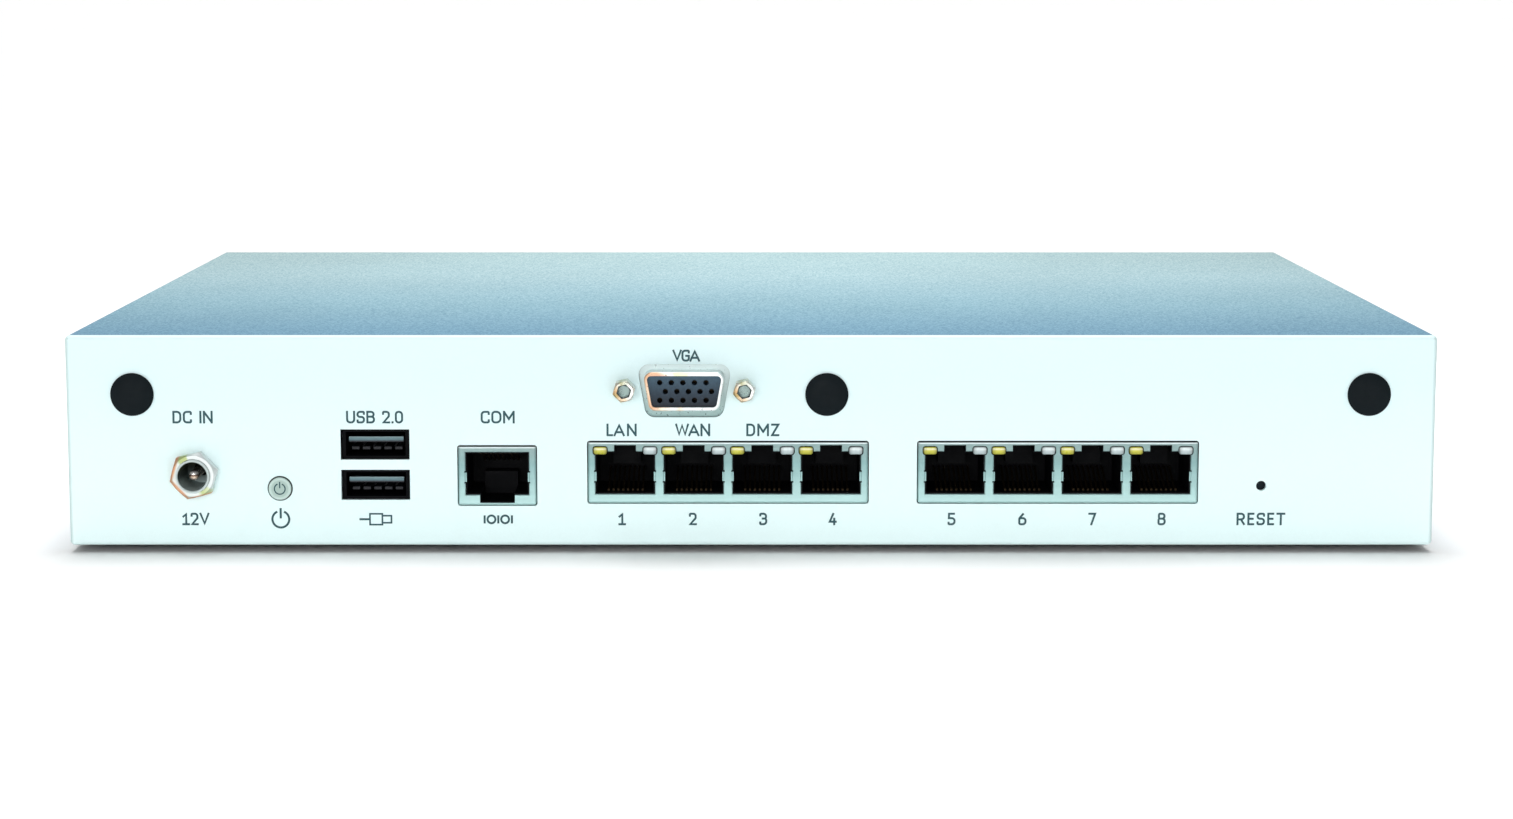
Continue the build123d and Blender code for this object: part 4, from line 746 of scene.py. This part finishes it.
BEND = 0.28  # usual corner radius
GLYPHS = {
    "A": (0.86, [[(0, 0, 0), (0.43, 0.93, 0), (0.86, 0, 0)], [(0.13, 0.28, 0), (0.73, 0.28, 0)]]),
    "B": (0.62, [
        [(0, 0, 0), (0, 1, 0)],
        [(0, 1, 0), (0.59, 1, 0.24), (0.59, 0.54, 0.22), (0, 0.54, 0)],
        [(0, 0.54, 0), (0.62, 0.54, 0.24), (0.62, 0, 0.26), (0, 0, 0)],
    ]),
    "C": (0.66, [[
        (0.66, 0.8, 0), (0.66, 1, BEND), (0, 1, BEND), (0, 0, BEND), (0.66, 0, BEND), (0.66, 0.2, 0),
    ]]),
    "D": (0.64, [[(0, 0, 0), (0, 1, 0), (0.64, 1, 0.34), (0.64, 0, 0.34), (0, 0, 0)]]),
    "E": (0.46, [[(0.46, 1, 0), (0, 1, 0), (0, 0, 0), (0.46, 0, 0)], [(0, 0.52, 0), (0.4, 0.52, 0)]]),
    "G": (0.64, [[
        (0.64, 0.82, 0), (0.64, 1, BEND), (0, 1, BEND), (0, 0, BEND), (0.64, 0, BEND), (0.64, 0.48, 0),
        (0.38, 0.48, 0),
    ]]),
    "I": (0.0, [[(0, 0, 0), (0, 1, 0)]]),
    "L": (0.42, [[(0, 1, 0), (0, 0, 0), (0.42, 0, 0)]]),
    "M": (0.9, [
        [(0, 0, 0), (0, 1, 0)],
        [(0.03, 0.96, 0), (0.45, 0.32, 0), (0.87, 0.96, 0)],
        [(0.9, 0, 0), (0.9, 1, 0)],
    ]),
    "N": (0.72, [[(0, 0, 0), (0, 1, 0)], [(0.03, 0.96, 0), (0.69, 0.04, 0)], [(0.72, 0, 0), (0.72, 1, 0)]]),
    "O": (0.76, [bowl(0, 0, 0.76, 1, 0.36)]),
    "R": (0.62, [
        [(0, 0, 0), (0, 1, 0)],
        [(0, 1, 0), (0.6, 1, 0.26), (0.6, 0.46, 0.26), (0, 0.46, 0)],
        [(0.32, 0.46, 0), (0.6, 0.02, 0)],
    ]),
    "S": (0.6, [[
        (0.6, 0.82, 0), (0.6, 1, 0.24), (0, 1, 0.24), (0, 0.52, 0.23), (0.6, 0.52, 0.23),
        (0.6, 0, 0.24), (0, 0, 0.24), (0, 0.18, 0),
    ]]),
    "T": (0.64, [[(0, 1, 0), (0.64, 1, 0)], [(0.32, 1, 0), (0.32, 0, 0)]]),
    "U": (0.66, [[(0, 1, 0), (0, 0, BEND), (0.66, 0, BEND), (0.66, 1, 0)]]),
    "V": (0.74, [[(0, 1, 0), (0.37, 0.07, 0), (0.74, 1, 0)]]),
    "W": (1.1, [[(0, 1, 0), (0.27, 0.07, 0), (0.55, 0.93, 0), (0.83, 0.07, 0), (1.1, 1, 0)]]),
    "Z": (0.58, [[(0, 1, 0), (0.58, 1, 0), (0, 0, 0), (0.58, 0, 0)]]),
    "0": (0.58, [bowl(0, 0, 0.58, 1, BEND)]),
    "1": (0.5, [[(0.02, 0.74, 0), (0.27, 0.94, 0), (0.27, 0, 0)], [(0, 0, 0), (0.52, 0, 0)]]),
    "2": (0.56, [[
        (0, 0.82, 0), (0, 1, 0.26), (0.54, 1, 0.26), (0.54, 0.58, 0.2), (0.04, 0, 0), (0.56, 0, 0),
    ]]),
    "3": (0.56, [
        [(0, 0.84, 0), (0, 1, 0.24), (0.54, 1, 0.24), (0.54, 0.54, 0.2), (0.24, 0.54, 0)],
        [(0.24, 0.54, 0), (0.56, 0.54, 0.22), (0.56, 0, 0.26), (0, 0, 0.26), (0, 0.16, 0)],
    ]),
    "4": (0.58, [[(0.34, 0.98, 0), (0.02, 0.24, 0), (0.58, 0.24, 0)], [(0.44, 0.52, 0), (0.44, 0, 0)]]),
    "5": (0.56, [[
        (0.5, 1, 0), (0.04, 1, 0), (0.02, 0.58, 0), (0.56, 0.58, 0.26), (0.56, 0, 0.26), (0, 0, 0.26),
        (0, 0.14, 0),
    ]]),
    "6": (0.58, [bowl(0, 0, 0.58, 0.58, 0.25), [(0, 0.3, 0), (0, 0.56, 0.25), (0.34, 0.96, 0)]]),
    "7": (0.56, [[(0, 1, 0), (0.54, 1, 0), (0.2, 0, 0)]]),
    "8": (0.58, [bowl(0.03, 0.53, 0.55, 1, 0.22), bowl(0, 0, 0.58, 0.53, 0.24)]),
    ".": (0.0, [[(0, 0, 0), (0, 0.01, 0)]]),
    " ": (0.22, []),
}
STROKE = 0.42  # width of a stroke in millimetres
TUCK = 0.35  # how far an A slides under the letter before it
TUCKED = ("LA", "WA", "VA")  # pairs of letters that are set closer


def square_ends(path, reach):
    """Carries both ends of an open stroke on by half its width."""
    path[0] = path[0] + (path[0] - path[1]).normalized() * reach
    path[-1] = path[-1] + (path[-1] - path[-2]).normalized() * reach


def legend(shape, words, x, height, width, cap):
    """Words centred on a point of the rear face, set to a width and a cap height in millimetres."""
    cap -= STROKE
    inked = sum(GLYPHS[letter][0] for letter in words) * cap
    tucks = sum(words.count(pair) for pair in TUCKED)
    gap = (width - STROKE - inked + tucks * TUCK) / max(len(words) - 1, 1)
    cursor = x - (width - STROKE) / 2 if len(words) > 1 else x - inked / 2
    for letter, following in zip(words, words[1:] + " "):
        advance, strokes = GLYPHS[letter]
        for layer, stroke in enumerate(strokes):
            path = [
                Vector((cursor + point.x * cap, height + (point.y - 0.5) * cap))
                for point in round_corners(stroke)
            ]
            closed = (path[0] - path[-1]).length < 1e-6
            if closed:
                path.pop()
            else:
                square_ends(path, STROKE / 2)
            add_ribbon(shape, path, STROKE, on_rear, closed, 0.03 + 0.005 * layer)
        cursor += advance * cap + gap - (TUCK if letter + following in TUCKED else 0)


def on_rear(x, height, lift):
    """Point just off the rear face, lift millimetres further out."""
    return rear_point(x, height, 0.02 + lift)


socket_x = {
    name: centre_of(name).x / MM
    for name in ("dc_jack_nut", "power_button", "usb_shell", "console_shield", "reset_plunger", "video_shell")
}
block_x = [centre_of(f"network_shield_{side}").x / MM for side in ("left", "right")]
port_x = [middle + (index - 1.5) * PORT_PITCH for middle in block_x for index in range(4)]

# heights of the rows' middles above the case's bottom, and of a capital letter
upper_row = 27.3
lower_row = 5.7
port_row = 24.6
video_row = 40.25
cap_height = 2.65
# words, middle, height, width and capital height of each line
printed = [
    ("VGA", socket_x["video_shell"] + 0.4, video_row, 5.75, 2.5),
    ("DC IN", socket_x["dc_jack_nut"] - 0.2, upper_row, 8.4, cap_height),
    ("USB 2.0", socket_x["usb_shell"], upper_row, 11.9, cap_height),
    ("COM", socket_x["console_shield"] + 0.2, upper_row, 7.1, cap_height),
    ("LAN", port_x[0] - 0.7, port_row, 6.3, cap_height),
    ("WAN", port_x[1] - 0.2, port_row, 7.3, cap_height),
    ("DMZ", port_x[2] + 0.1, port_row, 6.9, cap_height),
    ("12V", socket_x["dc_jack_nut"], lower_row, 5.7, cap_height),
    ("RESET", socket_x["reset_plunger"] + 0.1, lower_row, 10.2, cap_height),
]
digit_shift = (-0.7, -0.2, 0.2, 0.4, -0.6, -0.1, 0.2, 0.4)
printed += [
    (str(index + 1), x + shift, lower_row, 1.5, cap_height)
    for index, (x, shift) in enumerate(zip(port_x, digit_shift))
]
letters = bmesh.new()
for line in printed:
    legend(letters, *line)
add_piece("port_legends", letters, "legend_ink", "chassis")


# ---- Printed symbols: power, serial data and a plain plug ----
def power_symbol(shape, x, height, radius, width, to_world, bar):
    """Ring with a gap at its top and a bar through the gap."""
    add_ribbon(shape, ring_path(x, height, radius, 114, 312, 40), width, to_world)
    top = height + radius + bar * 0.28
    add_ribbon(shape, [Vector((x, top)), Vector((x, top - bar))], width, to_world, thickness=0.035)


symbols = bmesh.new()
symbol_row = 5.65
power_symbol(symbols, socket_x["power_button"], symbol_row, 1.76, 0.44, on_rear, 2.2)
serial_middle = socket_x["console_shield"] + 0.1
for bar in (-1, 0, 1):
    bar_x = serial_middle + bar * 2.86
    add_ribbon(symbols, [Vector((bar_x, 4.76)), Vector((bar_x, 6.47))], STROKE, on_rear)
for ring in (-1, 1):
    add_ribbon(symbols, ring_path(serial_middle + ring * 1.43, 5.62, 0.82), STROKE, on_rear, closed=True)
plug_x = socket_x["usb_shell"] - 0.1
lead = [Vector((plug_x - 3.4, symbol_row)), Vector((plug_x - 1.2, symbol_row))]
add_ribbon(symbols, lead, STROKE, on_rear)
# the plug's grip and its narrower tip: left, right and half height
for layer, (left, right, half) in enumerate(((-1.2, 1.4, 1.15), (1.4, 3.3, 0.75))):
    outline = [
        Vector((plug_x + left, symbol_row - half)),
        Vector((plug_x + left, symbol_row + half)),
        Vector((plug_x + right, symbol_row + half)),
        Vector((plug_x + right, symbol_row - half)),
    ]
    add_ribbon(symbols, outline, 0.34, on_rear, closed=True, thickness=0.035 + 0.005 * layer)
add_piece("port_symbols", symbols, "legend_ink", "chassis")

# ---- Mark on the power button ----
button_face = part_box("power_button")[0].y
button_z = centre_of("power_button").z


def on_button(x, height, lift):
    """Point just off the power button's face."""
    return Vector((x * MM, button_face - (0.01 + lift) * MM, button_z + height * MM))


button_mark = bmesh.new()
power_symbol(button_mark, socket_x["power_button"], 0, 1.12, 0.26, on_button, 1.35)
add_piece("button_symbol", button_mark, "legend_ink", "power_button")

# ---- Camera, at the viewpoint of the reference view ----
camera_side = -0.00095  # metres along X
camera_distance = 0.5821  # metres in front of the rear face
camera_height = 0.118  # metres above the case's bottom
camera_dip = 6.858  # degrees below level
camera_data = bpy.data.cameras.new("camera")
camera_data.lens = 67.1
camera_data.sensor_width = 36.0
camera_data.shift_x = 0.0066
camera_data.shift_y = -0.06
camera = bpy.data.objects.new("camera", camera_data)
camera.location = Vector((camera_side, rear_y - camera_distance, case_z + camera_height))
camera.rotation_euler = (math.radians(90 - camera_dip), 0, 0)
bpy.context.scene.collection.objects.link(camera)
bpy.context.scene.camera = camera

# ---- Floor and light ----
floor_shape = bmesh.new()
bmesh.ops.create_grid(floor_shape, x_segments=8, y_segments=8, size=30.0)
floor_mesh = bpy.data.meshes.new("floor")
floor_shape.to_mesh(floor_mesh)
floor_shape.free()
floor_finish = Finish("floor_paper", srgb(254, 254, 254), 0.9)
floor_finish.bump(floor_finish.noise(60), 0.02, 0.001)
floor_mesh.materials.append(floor_finish.material)
floor = bpy.data.objects.new("floor", floor_mesh)
bpy.context.scene.collection.objects.link(floor)


def soft_light(name, place, aim, size, power, colour):
    """Area light of a given size in metres, aimed at a point."""
    data = bpy.data.lights.new(name, "AREA")
    data.shape = "RECTANGLE"
    data.size, data.size_y = size
    data.energy = power
    data.color = colour
    light = bpy.data.objects.new(name, data)
    light.location = place
    light.rotation_euler = (Vector(aim) - Vector(place)).to_track_quat("-Z", "Y").to_euler()
    bpy.context.scene.collection.objects.link(light)
    return light


def soft_sun(name, elevation, azimuth, strength, spread):
    """Distant soft light: azimuth 0 shines from the port side, elevation above the floor, both in degrees."""
    data = bpy.data.lights.new(name, "SUN")
    data.energy = strength * math.pi
    data.angle = math.radians(spread)
    light = bpy.data.objects.new(name, data)
    light.rotation_euler = (math.radians(90 - elevation), 0, math.radians(azimuth))
    bpy.context.scene.collection.objects.link(light)


soft_sun("front", 10, -6, 0.45, 40)
soft_sun("above", 78, 180, 0.62, 28)
# a weak lamp above the front makes the cover's far part lighter than its near part
over = soft_light("over", (0.0, 0.1, 0.25), (0, 0.1, 0.04), (0.3, 0.12), 0.8, (1.0, 0.98, 0.96))
over.visible_glossy = False
over.visible_camera = False

# studio surroundings: bright at floor level, dimmer overhead
world = bpy.data.worlds.new("studio")
world.use_nodes = True
sky = world.node_tree
direction = sky.nodes.new("ShaderNodeTexCoord")
split = sky.nodes.new("ShaderNodeSeparateXYZ")
fall = sky.nodes.new("ShaderNodeMapRange")
for socket, number in zip(list(fall.inputs)[1:5], (0.02, 0.14, 1.1, 0.35)):
    socket.default_value = number
sky.links.new(direction.outputs["Generated"], split.inputs[0])
sky.links.new(split.outputs["Z"], fall.inputs["Value"])
sky.links.new(fall.outputs["Result"], sky.nodes["Background"].inputs["Strength"])
sky.nodes["Background"].inputs["Color"].default_value = (1.0, 1.0, 1.0, 1.0)
bpy.context.scene.world = world
bpy.context.scene.view_settings.view_transform = "Standard"
